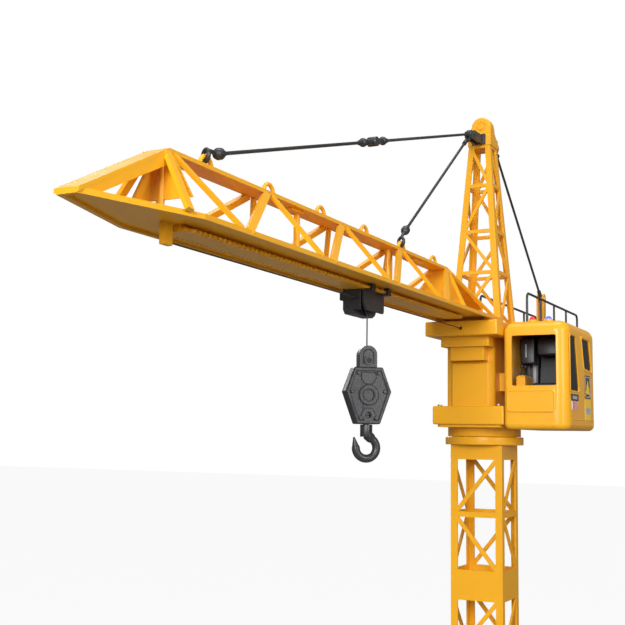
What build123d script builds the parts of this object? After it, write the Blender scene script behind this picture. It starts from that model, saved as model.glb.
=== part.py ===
from build123d import *
import math
import os

os.makedirs("parts", exist_ok=True)

# Toy tower crane on a lattice mast.  Millimetres, +Z up, +X along the jib towards its nose,
# +Y towards the operator's cab.  The origin is on the ground under the mast's axis.

# ---- driving dimensions ----
CLEAR = 0.4             # gap between pieces that move past each other
FIT = 0.05              # radial clearance of a shaft in its hole
PLUG = 0.15             # clearance of a peg in its socket

# base
FOOT_H = 10.0
FOOT_R = 24.0
ARM_REACH = 205.0       # from the mast's axis to a foot's centre
ARM_W = 42.0
ARM_H = 20.0
ARM_WALL = 3.0
HUB_H = 59.0            # ground to the top of the hub
HUB_W = 84.0
BOLT_R = 2.25           # mounting hole through each foot
STRUT_R = 4.0
STRUT_OUT = 160.0       # where a strut meets its arm
BALLAST_L = 56.0
BALLAST_W = 88.0
BALLAST_H = 44.0

# mast
MAST_W = 60.0
MAST_SECTIONS = 5
SECTION_H = 155.0
LEG_FLANGE = 7.9
LEG_WALL = 2.2
BAND_H = 16.5           # closed band at each end of a section
RAIL_H = 6.0            # the crossbar halfway up a section
DIAG_W = 4.6
BLOCK_W = 9.0           # corner block that holds a peg or a socket
PEG_R = 2.5
PEG_H = 8.0

# slewing ring
RING_R = 44.3
RING_H = 9.0
RIM_H = 5.2             # toothed rim inside the neck, above the ring's plate
SLEW_MODULE = 1.5
RING_TEETH = 44
SLEW_TEETH = 11
PIVOT_R = 11.0
PIVOT_BORE = 4.0
SHAFT_R = 2.0           # pinion's and drum's shafts
MOTOR_R = 9.0
MOTOR_L = 25.0
DRUM_R = 8.4
DRUM_FLANGE_R = 11.5
DRUM_HALF = 10.0        # half the width between the drum's flanges

# rotating column, heights above the foot of the slewing ring
NECK_R = 41.4
NECK_WALL = 4.4
FLOOR_T = 4.4           # floor of the neck, which turns on the pivot
COLLAR_Z = 22.2         # underside of the box collar above the neck
COLLAR_TOP = 42.8
COLLAR_X = 58.9
COLLAR_BACK = 50.0
COLLAR_Y = 41.2
SHELL = 2.4             # wall of every moulded housing
COLUMN_X = 47.5
COLUMN_BACK = 42.0
COLUMN_Y = 28.0
PANEL_RAISE = 3.0
PANEL_Y = 22.5
CORBEL_Z = 93.0         # foot of the two-step bracket under the platform
CORBEL_X = 61.5
CORBEL_Y = 20.3
STEP_Z = 108.0
STEP_X = 68.0
STEP_Y = 27.8
DECK_Z = 119.0          # underside of the platform
DECK_TOP = 135.3
DECK_X = 81.0
DECK_BACK = 62.0
DECK_Y = 41.4

# tower head
HEAD_FOOT = 29.5        # half width over the legs where they stand on the platform
HEAD_TOP_HALF = 13.0
HEAD_TOP_Z = 350.0
HEAD_FLANGE = 7.4
HEAD_WALL = 2.4
HEAD_LEVELS = (197.0, 246.0, 301.0)
CAP_H = 36.0

# jib
JIB_Z = 137.45          # underside of the bottom chords
JIB_Y = 33.1
SKIRT_H = 3.6
SKIRT_W = 3.4
WEB = 1.5
TOP_Z = 184.0
TOP_Y = 9.0
STRIP = 2.9
NODE_1_X = 646.0        # top node at the nose
NODE_PITCH = 125.0
BRACE_FOOT = 44.5       # how far a brace's foot stands nearer to the root than its node
FOOT_GAP = 17.0         # between a brace's foot and the next post's foot
POST_W = 6.2
BRACE_W = 3.6
BAR_T = 3.0
LUG_X = 591.6
LUG_PITCH = 85.4
LUG_R = 7.2
LUG_WIRE = 1.6
LUG_RISE = 1.7         # a lug's centre over the top of the strip
ROOT_X = 30.4
NOSE_X = 640.0
TIP_X = 730.0
TIP_Y = 7.3
UPRIGHT_R = 2.3

# tie rods
ROD_R = 1.45
BALL_R = 4.1
PIN_R = 1.8
HOOK_RING_R = 4.2
HOOK_RING_WIRE = 1.55
OUTER_BALL = (576.6, 0.0, 198.4)
INNER_BALL = (240.3, 0.0, 206.0)
INNER_HEAD = (60.7, 0.0, 343.0)
COUPLER_NEAR = 259.0    # pin to the coupler's first ball
COUPLER_SPAN = 45.8

# rack and trolley
RACK_PITCH = 6.0
RACK_TEETH_X = (108.0, 630.0)
RACK_HALF = 12.0
RACK_FLANGE = 2.4
RACK_NECK = 5.0
RACK_ADD = 1.5
RACK_DED = 1.9
TROLLEY_TEETH = 7
TROLLEY_X = 327.0
TROLLEY_HALF = 21.2
TROLLEY_LOW = 113.4
SHEAVE_R = 6.0
SHEAVE_PIN = 1.2

# cords
CORD_R = 0.6
CORD_Z = 127.0
CORD_END = 633.0

# hook block
BLOCK_TOP = 86.6
BLOCK_HEX_TOP = 67.5
BLOCK_HEX_LOW = 17.6
BLOCK_HALF = 21.0
BLOCK_T = 14.0
BLOCK_YAW = 43.0
HOOK_LOW = -16.0
HOOK_EYE = 5.8          # inner radius of the hook's bowl
HOOK_WIRE = 3.6
SWIVEL_R = 3.0

# counter-jib
TAIL_X = 340.0
TAIL_H = 9.0
RAIL_TOP = 185.0
CELL_R = 5.2
CELL_L = 43.0
RAIL_WIRE = 1.5
RAIL_Y = 29.6
RAIL_X0 = 77.0
RAIL_X1 = 332.0
RAIL_BAYS = 4

# cab
CAB_X = 60.0
CAB_BACK = 72.0
CAB_Y0 = 42.0
CAB_Y1 = 112.0
CAB_LOW = 17.5
CAB_TOP = 135.0
CAB_WALL = 2.4
PANE_OUT = 1.8          # outer face of a window pane over the wall's inside

RING_Z = HUB_H + MAST_SECTIONS * SECTION_H  # foot of the slewing ring


# ---- helpers ----
def block(x0, x1, y0, y1, z0, z1):
    """A box between six faces."""
    size = Box(abs(x1 - x0), abs(y1 - y0), abs(z1 - z0))
    return Pos((x0 + x1) / 2, (y0 + y1) / 2, (z0 + z1) / 2) * size


def rod(start, end, radius):
    """A round bar between two points."""
    axis = Vector(*end) - Vector(*start)
    return extrude(Plane(origin=start, z_dir=axis) * Circle(radius), amount=axis.length)


def bar(start, end, across, width, thick):
    """A rectangular bar between two points; its width lies along the direction across."""
    axis = Vector(*end) - Vector(*start)
    side = Vector(*across)
    side = side - axis * (side.dot(axis) / axis.dot(axis))
    plane = Plane(origin=start, x_dir=side, z_dir=axis)
    return extrude(plane * Rectangle(width, thick), amount=axis.length)


def plate_xz(points, y0, y1):
    """A flat plate with an outline in X and Z, from y0 to y1."""
    face = make_face(Polyline(*[(x, 0, z) for x, z in points], close=True))
    return Pos(0, y0, 0) * extrude(face, amount=y1 - y0, dir=(0, 1, 0))


def plate_yz(points, x0, x1):
    """A flat plate with an outline in Y and Z, from x0 to x1."""
    face = make_face(Polyline(*[(0, y, z) for y, z in points], close=True))
    return Pos(x0, 0, 0) * extrude(face, amount=x1 - x0, dir=(1, 0, 0))


def plate_xy(points, z0, z1):
    """A flat plate with an outline in X and Y, from z0 to z1."""
    face = make_face(Polyline(*[(x, y, 0) for x, y in points], close=True))
    return Pos(0, 0, z0) * extrude(face, amount=z1 - z0, dir=(0, 0, 1))


def joined(pieces):
    """All the pieces fused into one."""
    return pieces[0] + pieces[1:]


def both_sides(piece):
    """The piece and its mirror image across the jib's centre plane."""
    return [piece, mirror(piece, about=Plane.XZ)]


def lift(piece):
    """Moves a piece drawn from the foot of the slewing ring up to its place."""
    return Pos(0, 0, RING_Z) * piece


def save(name, pieces):
    """Writes one node, as one solid or as a group of separate solids."""
    solids = []
    for piece in pieces:
        solids.extend(piece.solids())
    shape = solids[0] if len(solids) == 1 else Compound(children=solids)
    export_step(shape, f"parts/{name}.step")
    print(name, len(solids))


def gear_outline(teeth, pitch_r, add, ded, share, turn):
    """A gear's outline; share is the tooth's part of the pitch, turn the first tooth's angle."""
    points = []
    step = 2 * math.pi / teeth
    for k in range(teeth):
        mid = math.radians(turn) + k * step
        half = step * share / 2
        slope = math.tan(math.radians(20))
        root_r = pitch_r - ded
        crown_r = pitch_r + add
        for radius, sign in ((root_r, -1), (crown_r, -1), (crown_r, 1), (root_r, 1)):
            width = half - (radius - pitch_r) * slope / radius
            angle = mid + sign * width
            points.append((radius * math.cos(angle), radius * math.sin(angle)))
    return points


# ---- base ----
def base_frame():
    pieces = [block(-HUB_W / 2, HUB_W / 2, -HUB_W / 2, HUB_W / 2, FOOT_H, HUB_H)]
    for turn in (0, 90, 180, 270):
        arm = block(0, ARM_REACH, -ARM_W / 2, ARM_W / 2, FOOT_H, FOOT_H + ARM_H)
        pad = Pos(ARM_REACH, 0, FOOT_H + ARM_H / 2) * Cylinder(FOOT_R + ARM_WALL, ARM_H)
        pieces += [Rot(0, 0, turn) * arm, Rot(0, 0, turn) * pad]
    frame = joined(pieces)
    inner = HUB_W / 2 - ARM_WALL
    frame -= block(-inner, inner, -inner, inner, FOOT_H, HUB_H - ARM_WALL)
    for turn in (0, 90, 180, 270):
        hollow = block(inner - 1, ARM_REACH - FOOT_R, -ARM_W / 2 + ARM_WALL, ARM_W / 2 - ARM_WALL,
                       FOOT_H, FOOT_H + ARM_H - ARM_WALL)
        hole = Pos(ARM_REACH, 0, FOOT_H + ARM_H / 2) * Cylinder(BOLT_R, ARM_H + 2)
        frame -= Rot(0, 0, turn) * hollow
        frame -= Rot(0, 0, turn) * hole
    pegs = [Pos(*place, HUB_H + PEG_H / 2) * Cylinder(PEG_R, PEG_H) for place in peg_places()]
    return joined([frame] + pegs)


def base_feet():
    feet = []
    for turn in (0, 90, 180, 270):
        foot = Pos(ARM_REACH, 0, FOOT_H / 2) * Cylinder(FOOT_R, FOOT_H)
        foot = fillet(foot.faces().sort_by(Axis.Z)[0].edges(), 2.0)
        foot -= Pos(ARM_REACH, 0, FOOT_H / 2) * Cylinder(BOLT_R, FOOT_H + 2)
        feet.append(Rot(0, 0, turn) * foot)
    return feet


def ballast_blocks():
    low = FOOT_H + ARM_H
    saddle = block(0, BALLAST_L, -BALLAST_W / 2, BALLAST_W / 2, FOOT_H + 4, low + BALLAST_H)
    saddle = chamfer(saddle.faces().sort_by(Axis.Z)[-1].edges(), 3.0)
    saddle -= block(-1, BALLAST_L + 1, -ARM_W / 2 - PLUG, ARM_W / 2 + PLUG, FOOT_H, low)
    place = HUB_W / 2 + (BALLAST_W - HUB_W) / 2 + 2.0
    return [Rot(0, 0, turn) * Pos(place, 0, 0) * saddle for turn in (0, 90, 180, 270)]


def strut_top():
    return HUB_H + SECTION_H - BAND_H / 2


def base_struts():
    low = (STRUT_OUT, 0, FOOT_H + ARM_H)
    high = (MAST_W / 2 + 9.0, 0, strut_top() - 4.0)
    strut = rod(low, high, STRUT_R)
    strut -= block(STRUT_OUT - 20, STRUT_OUT + 20, -20, 20, 0, FOOT_H + ARM_H + 1.5)
    shoe = Pos(STRUT_OUT - 1.5, 0, FOOT_H + ARM_H + 1.5) * Box(22, 18, 3)
    strut = joined([strut, shoe])
    strut -= block(0, MAST_W / 2 + 6.0, -20, 20, 0, 400)
    return [Rot(0, 0, turn) * strut for turn in (0, 90, 180, 270)]


def strut_collar():
    half = MAST_W / 2 + PLUG
    mid = strut_top()
    collar = block(-half - 3.5, half + 3.5, -half - 3.5, half + 3.5, mid - 7, mid + 7)
    collar -= block(-half, half, -half, half, mid - 8, mid + 8)
    ears = [Rot(0, 0, turn) * block(half + 3, MAST_W / 2 + 6.0, -8, 8, mid - 12, mid + 5)
            for turn in (0, 90, 180, 270)]
    return joined([collar] + ears)


# ---- mast ----
def peg_places():
    away = MAST_W / 2 - LEG_WALL - (BLOCK_W - LEG_WALL) / 2
    return [(sx * away, sy * away) for sx in (-1, 1) for sy in (-1, 1)]


def mast_face(z0, flip):
    """The bars of one mast face, drawn on the face towards +X."""
    out = MAST_W / 2
    mid = z0 + SECTION_H / 2
    reach = out - LEG_FLANGE + 1.5
    wall = (out - LEG_WALL, out)
    bars = [block(*wall, -out + 1, out - 1, z0, z0 + BAND_H),
            block(*wall, -out + 1, out - 1, z0 + SECTION_H - BAND_H, z0 + SECTION_H),
            block(*wall, -out + 1, out - 1, mid - RAIL_H / 2, mid + RAIL_H / 2)]
    panels = ((z0 + BAND_H, mid - RAIL_H / 2, -flip), (mid + RAIL_H / 2, z0 + SECTION_H - BAND_H, flip))
    for low, high, side in panels:
        start = (out - LEG_WALL / 2, -side * reach, low)
        end = (out - LEG_WALL / 2, side * reach, high)
        bars.append(bar(start, end, (0, 1, 0), DIAG_W, LEG_WALL))
    return bars


def mast_section(z0):
    out = MAST_W / 2
    pieces = []
    for turn, flip in ((0, 1), (90, 1), (180, 1), (270, 1)):
        leg = block(out - LEG_FLANGE, out, out - LEG_WALL, out, z0, z0 + SECTION_H)
        leg += block(out - LEG_WALL, out, out - LEG_FLANGE, out, z0, z0 + SECTION_H)
        pieces.append(Rot(0, 0, turn) * leg)
        pieces += [Rot(0, 0, turn) * piece for piece in mast_face(z0, flip)]
    for x, y in peg_places():
        half = BLOCK_W / 2
        pieces.append(block(x - half, x + half, y - half, y + half, z0, z0 + PEG_H + 2))
        pieces.append(block(x - half, x + half, y - half, y + half, z0 + SECTION_H - 6, z0 + SECTION_H))
        pieces.append(Pos(x, y, z0 + SECTION_H + PEG_H / 2) * Cylinder(PEG_R, PEG_H))
    section = joined(pieces)
    for x, y in peg_places():
        section -= Pos(x, y, z0 + PEG_H / 2) * Cylinder(PEG_R + PLUG, PEG_H + 1)
    return section


# ---- slewing ring ----
def slew_ring_base():
    ring = Pos(0, 0, RING_H / 2) * Cylinder(RING_R, RING_H)
    ring = fillet(ring.faces().sort_by(Axis.Z)[-1].edges(), 1.2)
    ring = fillet(ring.faces().sort_by(Axis.Z)[0].edges(), 1.2)
    rim = Pos(0, 0, (RING_H + RIM_H) / 2) * Cylinder(NECK_R - NECK_WALL - CLEAR, RING_H + RIM_H)
    pitch_r = SLEW_MODULE * RING_TEETH / 2
    spaces = gear_outline(RING_TEETH, pitch_r, SLEW_MODULE * 1.1, SLEW_MODULE * 0.85, 0.62, 0)
    rim -= plate_xy(spaces, RING_H, RING_H + RIM_H + 1)
    pivot = Pos(0, 0, pivot_top() / 2) * Cylinder(PIVOT_R, pivot_top())
    ring = joined([ring, rim, pivot])
    ring -= Pos(0, 0, pivot_top() / 2) * Cylinder(PIVOT_BORE, pivot_top() + 2)
    for x, y in peg_places():
        ring -= Pos(x, y, (PEG_H + PLUG) / 2) * Cylinder(PEG_R + PLUG, PEG_H + PLUG)
    return lift(ring)


def floor_low():
    """Underside of the turning floor, above the toothed rim."""
    return RING_H + RIM_H + CLEAR


def floor_top():
    return floor_low() + FLOOR_T


def pivot_top():
    return floor_top() + CLEAR


def pivot_retainer():
    top = pivot_top()
    washer = Pos(0, 0, top + 1.0) * Cylinder(PIVOT_R + 4.0, 2.0)
    stem = Pos(0, 0, top - 7.0) * Cylinder(PIVOT_BORE - FIT, 14.0)
    head = Pos(0, 0, top + 3.0) * Cylinder(6.0, 2.6)
    return lift(joined([washer, stem, head]))


def pinion_away():
    """Distance between the axes of the toothed rim and its pinion."""
    return SLEW_MODULE * (RING_TEETH - SLEW_TEETH) / 2


def slew_pinion():
    radius = SLEW_MODULE * SLEW_TEETH / 2
    outline = gear_outline(SLEW_TEETH, radius, SLEW_MODULE * 0.8, SLEW_MODULE * 1.1, 0.4, 180)
    wheel = plate_xy(outline, RING_H + CLEAR, RING_H + RIM_H)
    shaft = rod((0, 0, RING_H + CLEAR), (0, 0, floor_top() + 2.0), SHAFT_R)
    return lift(Pos(-pinion_away(), 0, 0) * joined([wheel, shaft]))


def slew_motor():
    away = pinion_away()
    low = floor_top()
    can = Pos(-away - 1, 0, low + 5.0 + MOTOR_L / 2) * Cylinder(MOTOR_R, MOTOR_L)
    gearbox = block(-away - 10, -away + 8, -9.5, 9.5, low, low + 5.6)
    motor = joined([can, gearbox])
    motor -= Pos(-away, 0, low + 2.6) * Cylinder(SHAFT_R + 0.5, 10.0)
    return lift(motor)


def slew_housing():
    """Neck, box collar and the floor that turns on the pivot."""
    low = RING_H + CLEAR
    neck = Pos(0, 0, (low + COLLAR_Z) / 2) * Cylinder(NECK_R, COLLAR_Z - low)
    step = block(-COLLAR_BACK + 4, COLLAR_X - 4, -COLLAR_Y + 3.5, COLLAR_Y - 3.5, COLLAR_Z - 2.8, COLLAR_Z)
    step = fillet(step.edges().filter_by(Axis.Z), 5.0)
    collar = block(-COLLAR_BACK, COLLAR_X, -COLLAR_Y, COLLAR_Y, COLLAR_Z, COLLAR_TOP)
    collar = fillet(collar.edges(), 1.8)
    body = joined([neck, step, collar])
    body -= Pos(0, 0, (low + COLLAR_Z) / 2 + 1) * Cylinder(NECK_R - NECK_WALL, COLLAR_Z - low + 4)
    body -= block(-COLLAR_BACK + SHELL, COLLAR_X - SHELL, -COLLAR_Y + SHELL, COLLAR_Y - SHELL,
                  COLLAR_Z + SHELL, COLLAR_TOP - SHELL)
    body -= block(-COLUMN_BACK + SHELL, COLUMN_X - SHELL, -COLUMN_Y + SHELL, COLUMN_Y - SHELL,
                  COLLAR_TOP - SHELL - 1, COLLAR_TOP + 1)
    middle = floor_top() - FLOOR_T / 2
    floor = Pos(0, 0, middle) * Cylinder(NECK_R - NECK_WALL + 1.0, FLOOR_T)
    floor -= Pos(0, 0, middle) * Cylinder(PIVOT_R + FIT, FLOOR_T + 1)
    floor -= Pos(-pinion_away(), 0, middle) * Cylinder(SHAFT_R + FIT, FLOOR_T + 1)
    return lift(body + floor)


# ---- column ----
def column_shell_front():
    body = block(0, COLUMN_X, -COLUMN_Y, COLUMN_Y, COLLAR_TOP, DECK_Z)
    body = fillet(body.edges().filter_by(Axis.Z).sort_by(Axis.X)[-2:], 3.0)
    panel = block(COLUMN_X - 1, COLUMN_X + PANEL_RAISE, -PANEL_Y, PANEL_Y, COLLAR_TOP, CORBEL_Z - 0.8)
    face = panel.faces().sort_by(Axis.X)[-1]
    panel = chamfer([e for e in face.edges() if e.center().Z > COLLAR_TOP + 1], 2.2)
    corbel = block(COLUMN_X - 1, CORBEL_X, -CORBEL_Y, CORBEL_Y, CORBEL_Z, STEP_Z)
    corbel = fillet(corbel.edges().filter_by(Axis.Z).sort_by(Axis.X)[-2:], 2.4)
    step = block(COLUMN_X - 1, STEP_X, -STEP_Y, STEP_Y, STEP_Z, DECK_Z)
    step = fillet(step.edges().filter_by(Axis.Z).sort_by(Axis.X)[-2:], 1.6)
    body = joined([body, panel, corbel, step])
    body -= block(-1, COLUMN_X - SHELL, -COLUMN_Y + SHELL, COLUMN_Y - SHELL, COLLAR_TOP - 1, DECK_Z + 1)
    body -= block(0, STEP_X - SHELL, -CORBEL_Y + SHELL, CORBEL_Y - SHELL, STEP_Z + SHELL, DECK_Z + 1)
    return lift(body)


def column_shell_rear():
    body = block(-COLUMN_BACK, 0, -COLUMN_Y, COLUMN_Y, COLLAR_TOP, DECK_Z)
    body = fillet(body.edges().filter_by(Axis.Z).sort_by(Axis.X)[:2], 3.0)
    ribs = [block(-COLUMN_BACK - 1.6, -COLUMN_BACK + 1, y - 1.5, y + 1.5, COLLAR_TOP, DECK_Z)
            for y in (-14.0, 0.0, 14.0)]
    body = joined([body] + ribs)
    body -= block(-COLUMN_BACK + SHELL, 1, -COLUMN_Y + SHELL, COLUMN_Y - SHELL, COLLAR_TOP - 1, DECK_Z + 1)
    return lift(body)


def drum_centre():
    """The cord leaves the drum at its top, at the height of the jib cord."""
    return 30.0, 0.0, CORD_Z - CORD_R - DRUM_R - 0.2


def jib_platform():
    body = block(-DECK_BACK, DECK_X, -DECK_Y, DECK_Y, DECK_Z, DECK_TOP)
    body = fillet(body.edges(), 1.6)
    body -= block(-DECK_BACK + SHELL, DECK_X - SHELL, -DECK_Y + SHELL, DECK_Y - SHELL,
                  DECK_Z + SHELL, DECK_TOP - SHELL)
    body -= block(-COLUMN_BACK + SHELL, STEP_X - SHELL, -CORBEL_Y + SHELL, CORBEL_Y - SHELL,
                  DECK_Z - 1, DECK_Z + SHELL + 1)
    body -= rod((DECK_X - 10, 0, CORD_Z), (DECK_X + 10, 0, CORD_Z), CORD_R + 1.2)
    x, _, z = drum_centre()
    for side in (-1, 1):
        cheek = block(x - 6, x + 6, side * 13.0, side * 15.5, z - 8, DECK_TOP - SHELL + 0.5)
        cheek -= rod((x, side * 10.0, z), (x, side * 20.0, z), SHAFT_R + FIT)
        body += cheek
    return lift(body)


def hoist_drum():
    x, _, z = drum_centre()
    core = rod((x, -DRUM_HALF, z), (x, DRUM_HALF, z), DRUM_R)
    rim = DRUM_HALF + 1.6
    flanges = [rod((x, side * DRUM_HALF, z), (x, side * rim, z), DRUM_FLANGE_R) for side in (-1, 1)]
    shaft = rod((x, -17.0, z), (x, 17.0, z), SHAFT_R)
    return lift(joined([core, shaft] + flanges))


def hoist_motor():
    can = rod((-8.0, -14.0, 103.0), (-8.0, 11.0, 103.0), 10.0)
    nose = rod((-8.0, 10.0, 103.0), (-8.0, 15.0, 103.0), 3.0)
    plate = block(-20, 4, -16, -13, 91.0, DECK_Z + SHELL)
    plate -= block(-21, 5, -17, -12, DECK_Z - 0.01, DECK_TOP)
    return lift(joined([can, nose, plate]))


def circuit_board():
    board = block(-COLUMN_BACK + SHELL + 3, -COLUMN_BACK + SHELL + 4.6, -20, 20, 58, 104)
    chip = block(-COLUMN_BACK + SHELL + 4.6, -COLUMN_BACK + SHELL + 6.6, -6, 8, 70, 84)
    caps = [Pos(-COLUMN_BACK + SHELL + 7.1, y, 95) * Rot(0, 90, 0) * Cylinder(2.5, 5.1) for y in (-12, -4, 6)]
    posts = [block(-COLUMN_BACK + SHELL, -COLUMN_BACK + SHELL + 3.1, y - 2, y + 2, z - 2, z + 2)
             for y in (-16, 16) for z in (62, 100)]
    return lift(joined([board, chip] + caps + posts))


def casing_screws():
    """Self-tapping screws through the collar and the platform."""
    screws = []
    for x, y in ((COLUMN_X + 6, 34), (COLUMN_X + 6, -34), (-COLUMN_BACK - 2, 34), (-COLUMN_BACK - 2, -34)):
        head = Pos(x, y, COLLAR_TOP + 0.9) * Cylinder(2.6, 1.8)
        head -= Pos(x, y, COLLAR_TOP + 1.8) * Box(3.4, 0.7, 1.2)
        head -= Pos(x, y, COLLAR_TOP + 1.8) * Box(0.7, 3.4, 1.2)
        screws.append(lift(head))
    return screws


# ---- tower head ----
def head_half(z):
    """Half width over the legs at a height above the ring's foot."""
    share = (z - DECK_TOP) / (HEAD_TOP_Z - DECK_TOP)
    return HEAD_FOOT + (HEAD_TOP_HALF - HEAD_FOOT) * share


def head_leg():
    faces = []
    for z in (DECK_TOP, HEAD_TOP_Z):
        out = head_half(z)
        flange = HEAD_FLANGE if z == DECK_TOP else HEAD_FLANGE * 0.86
        points = [(out, out), (out - flange, out), (out - flange, out - HEAD_WALL),
                  (out - HEAD_WALL, out - HEAD_WALL), (out - HEAD_WALL, out - flange), (out, out - flange)]
        faces.append(make_face(Polyline(*[(x, y, z) for x, y in points], close=True)))
    return loft(faces, ruled=True)


def head_face_bars():
    """Crossbars and zigzag braces of the face towards +X."""
    bars = []
    inset = HEAD_WALL / 2
    for z in HEAD_LEVELS:
        half = head_half(z)
        bars.append(bar((half - inset, -half + 2, z), (half - inset, half - 2, z), (0, 0, 1), 4.2, HEAD_WALL))
    levels = (DECK_TOP + 2,) + HEAD_LEVELS + (HEAD_TOP_Z - 4,)
    side = 1
    for low, high in zip(levels[:-1], levels[1:]):
        a = head_half(low)
        b = head_half(high)
        start = (a - inset, side * -(a - 4), low)
        end = (b - inset, side * (b - 4), high)
        bars.append(bar(start, end, (0, 1, 0), 3.6, HEAD_WALL - 0.2))
        side = -side
    return bars


def tower_head_frame():
    pieces = []
    for turn in (0, 90, 180, 270):
        pieces.append(Rot(0, 0, turn) * head_leg())
        pieces += [Rot(0, 0, turn) * piece for piece in head_face_bars()]
    half = HEAD_TOP_HALF
    pieces.append(block(-half, half, -half, half, HEAD_TOP_Z - 3.0, HEAD_TOP_Z))
    foot = block(-HEAD_FOOT, HEAD_FOOT, -HEAD_FOOT, HEAD_FOOT, DECK_TOP, DECK_TOP + 2.0)
    foot -= block(-HEAD_FOOT + 8, HEAD_FOOT - 8, -HEAD_FOOT + 8, HEAD_FOOT - 8, DECK_TOP - 1, DECK_TOP + 3)
    pieces.append(foot)
    return lift(joined(pieces))


def head_cap():
    half = HEAD_TOP_HALF + 1.0
    low = HEAD_TOP_Z
    high = low + CAP_H
    radius = half - 2.0
    foot = block(-half, half, -half, half, low, low + 13)
    foot = chamfer(foot.faces().sort_by(Axis.Z)[-1].edges(), 2.2)
    dome = rod((-7.5, 0, high - radius), (7.5, 0, high - radius), radius)
    neck = block(-7.5, 7.5, -radius, radius, low + 8, high - radius)
    dome = fillet(dome.edges(), 2.4)
    body = joined([foot, neck, dome])
    body -= rod((6.6, 0, high - radius), (9, 0, high - radius), 6.0)
    boss = rod((6.0, 0, high - radius), (8.6, 0, high - radius), 3.4)
    return lift(joined([body, boss]))


def tail_plate():
    """Ribbed plate that leans back from the head, with a fork for the rear stay's upper eye."""
    start = Vector(-9.5, 0, HEAD_TOP_Z + 24)
    end = Vector(-33.0, 0, HEAD_TOP_Z + 7.5)
    axis = (end - start).normalized()
    up = Vector(axis.Z, 0, -axis.X)
    plate = bar(start, end, (0, 1, 0), 18.0, 4.0)
    round_end = extrude(Plane(origin=end, x_dir=(0, 1, 0), z_dir=up) * Circle(9.0), amount=2.0, both=True)
    pieces = [plate, round_end]
    for k in range(4):
        middle = start + (end - start) * (0.15 + 0.2 * k) + up * 2.0
        pieces.append(rod(middle - Vector(0, 7.5, 0), middle + Vector(0, 7.5, 0), 1.1))
    (x, _, z), _ = stay_points()
    for side in (-1, 1):
        ear = block(x - 3.4, x + 3.4, side * 2.6, side * 4.6, z - 12, z)
        ear += rod((x, side * 2.6, z), (x, side * 4.6, z), 3.4)
        pieces.append(ear)
    pieces.append(rod((x, -5.6, z), (x, 5.6, z), 1.8))
    tail = joined(pieces)
    tail -= block(-half_cap(), half_cap(), -30, 30, HEAD_TOP_Z - 30, HEAD_TOP_Z + 13.0)
    tail -= block(-7.5, 20, -30, 30, HEAD_TOP_Z, HEAD_TOP_Z + 60)
    return lift(tail)


def half_cap():
    return HEAD_TOP_HALF + 1.0


def rod_pin():
    """Where both tie rods hook on, in front of the head."""
    return 46.8, 0.0, 355.0


def head_bracket():
    x, _, z = rod_pin()
    plates = []
    for side in (-1, 1):
        plate = plate_xz([(half_cap(), z - 4), (half_cap(), z + 6), (x - 3, z + 5), (x + 4, z + 2),
                          (x + 4, z - 5), (x - 4, z - 6)], side * 4.0 - 1.0, side * 4.0 + 1.0)
        plates.append(plate)
    back = block(half_cap(), half_cap() + 2.4, -8, 8, z - 4.4, z + 8)
    pin = rod((x, -6.5, z), (x, 6.5, z), PIN_R)
    return lift(joined(plates + [back, pin]))


# ---- jib ----
def top_height(x):
    """Height of the top of the jib's upper strip."""
    last = NODE_1_X - 4 * NODE_PITCH
    if x > NODE_1_X:
        return TOP_Z - (TOP_Z - JIB_Z - SKIRT_H) * (x - NODE_1_X) / (TIP_X - NODE_1_X)
    if x < last:
        return TOP_Z - (TOP_Z - 155.0) * (last - x) / (last - ROOT_X)
    return TOP_Z


def node_x(k):
    return NODE_1_X - k * NODE_PITCH


def split_x(k):
    """A butt joint between two jib sections, midway between the feet of two bars."""
    return node_x(k) - BRACE_FOOT - FOOT_GAP / 2


def chord_plates(x0, x1):
    """Bottom channel and upper strip between two stations that lie on straight chords."""
    web = block(x0, x1, -JIB_Y, JIB_Y, JIB_Z + SKIRT_H - WEB, JIB_Z + SKIRT_H)
    return [web] + both_sides(block(x0, x1, JIB_Y - SKIRT_W, JIB_Y, JIB_Z, JIB_Z + SKIRT_H))


def lattice_bar(x_top, x_low, width):
    """One lattice bar on the +Y side, from the strip down to the channel."""
    start = (x_top, TOP_Y - BAR_T / 2, TOP_Z - STRIP + 0.5)
    end = (x_low, JIB_Y - BAR_T / 2, JIB_Z + SKIRT_H - 0.5)
    return bar(start, end, (1, 0, 0), width, BAR_T)


def panel_bars(k):
    """Post and brace of one top node, on both sides."""
    post_foot = node_x(k) + (NODE_PITCH - BRACE_FOOT - FOOT_GAP if k else 9.0)
    brace_foot = node_x(k) - BRACE_FOOT if k < 4 else node_x(k) + 12.0
    brace_foot = brace_foot - (8.0 if k == 0 else 0.0)
    top = node_x(k)
    bars = both_sides(lattice_bar(top + 1.0, post_foot, POST_W))
    bars += both_sides(lattice_bar(top - 6.0, brace_foot, BRACE_W))
    return bars


def lug(k):
    """An eye standing on the upper strip, in the plane of the jib."""
    x = LUG_X - k * LUG_PITCH
    ring = Pos(x, 0, TOP_Z + LUG_RISE) * Rot(90, 0, 0) * Torus(LUG_R, LUG_WIRE)
    ring -= block(x - 20, x + 20, -10, 10, TOP_Z - 30, TOP_Z - STRIP / 2)
    return ring


def upright(x, rib):
    """Round centre post between the channel and the strip, with a flat rib beside it."""
    low = JIB_Z + SKIRT_H - 0.5
    high = TOP_Z - STRIP + 0.5
    web = block(x, x + rib, -0.9, 0.9, low, high)
    return [rod((x, 0, low), (x, 0, high), UPRIGHT_R), web]


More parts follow.
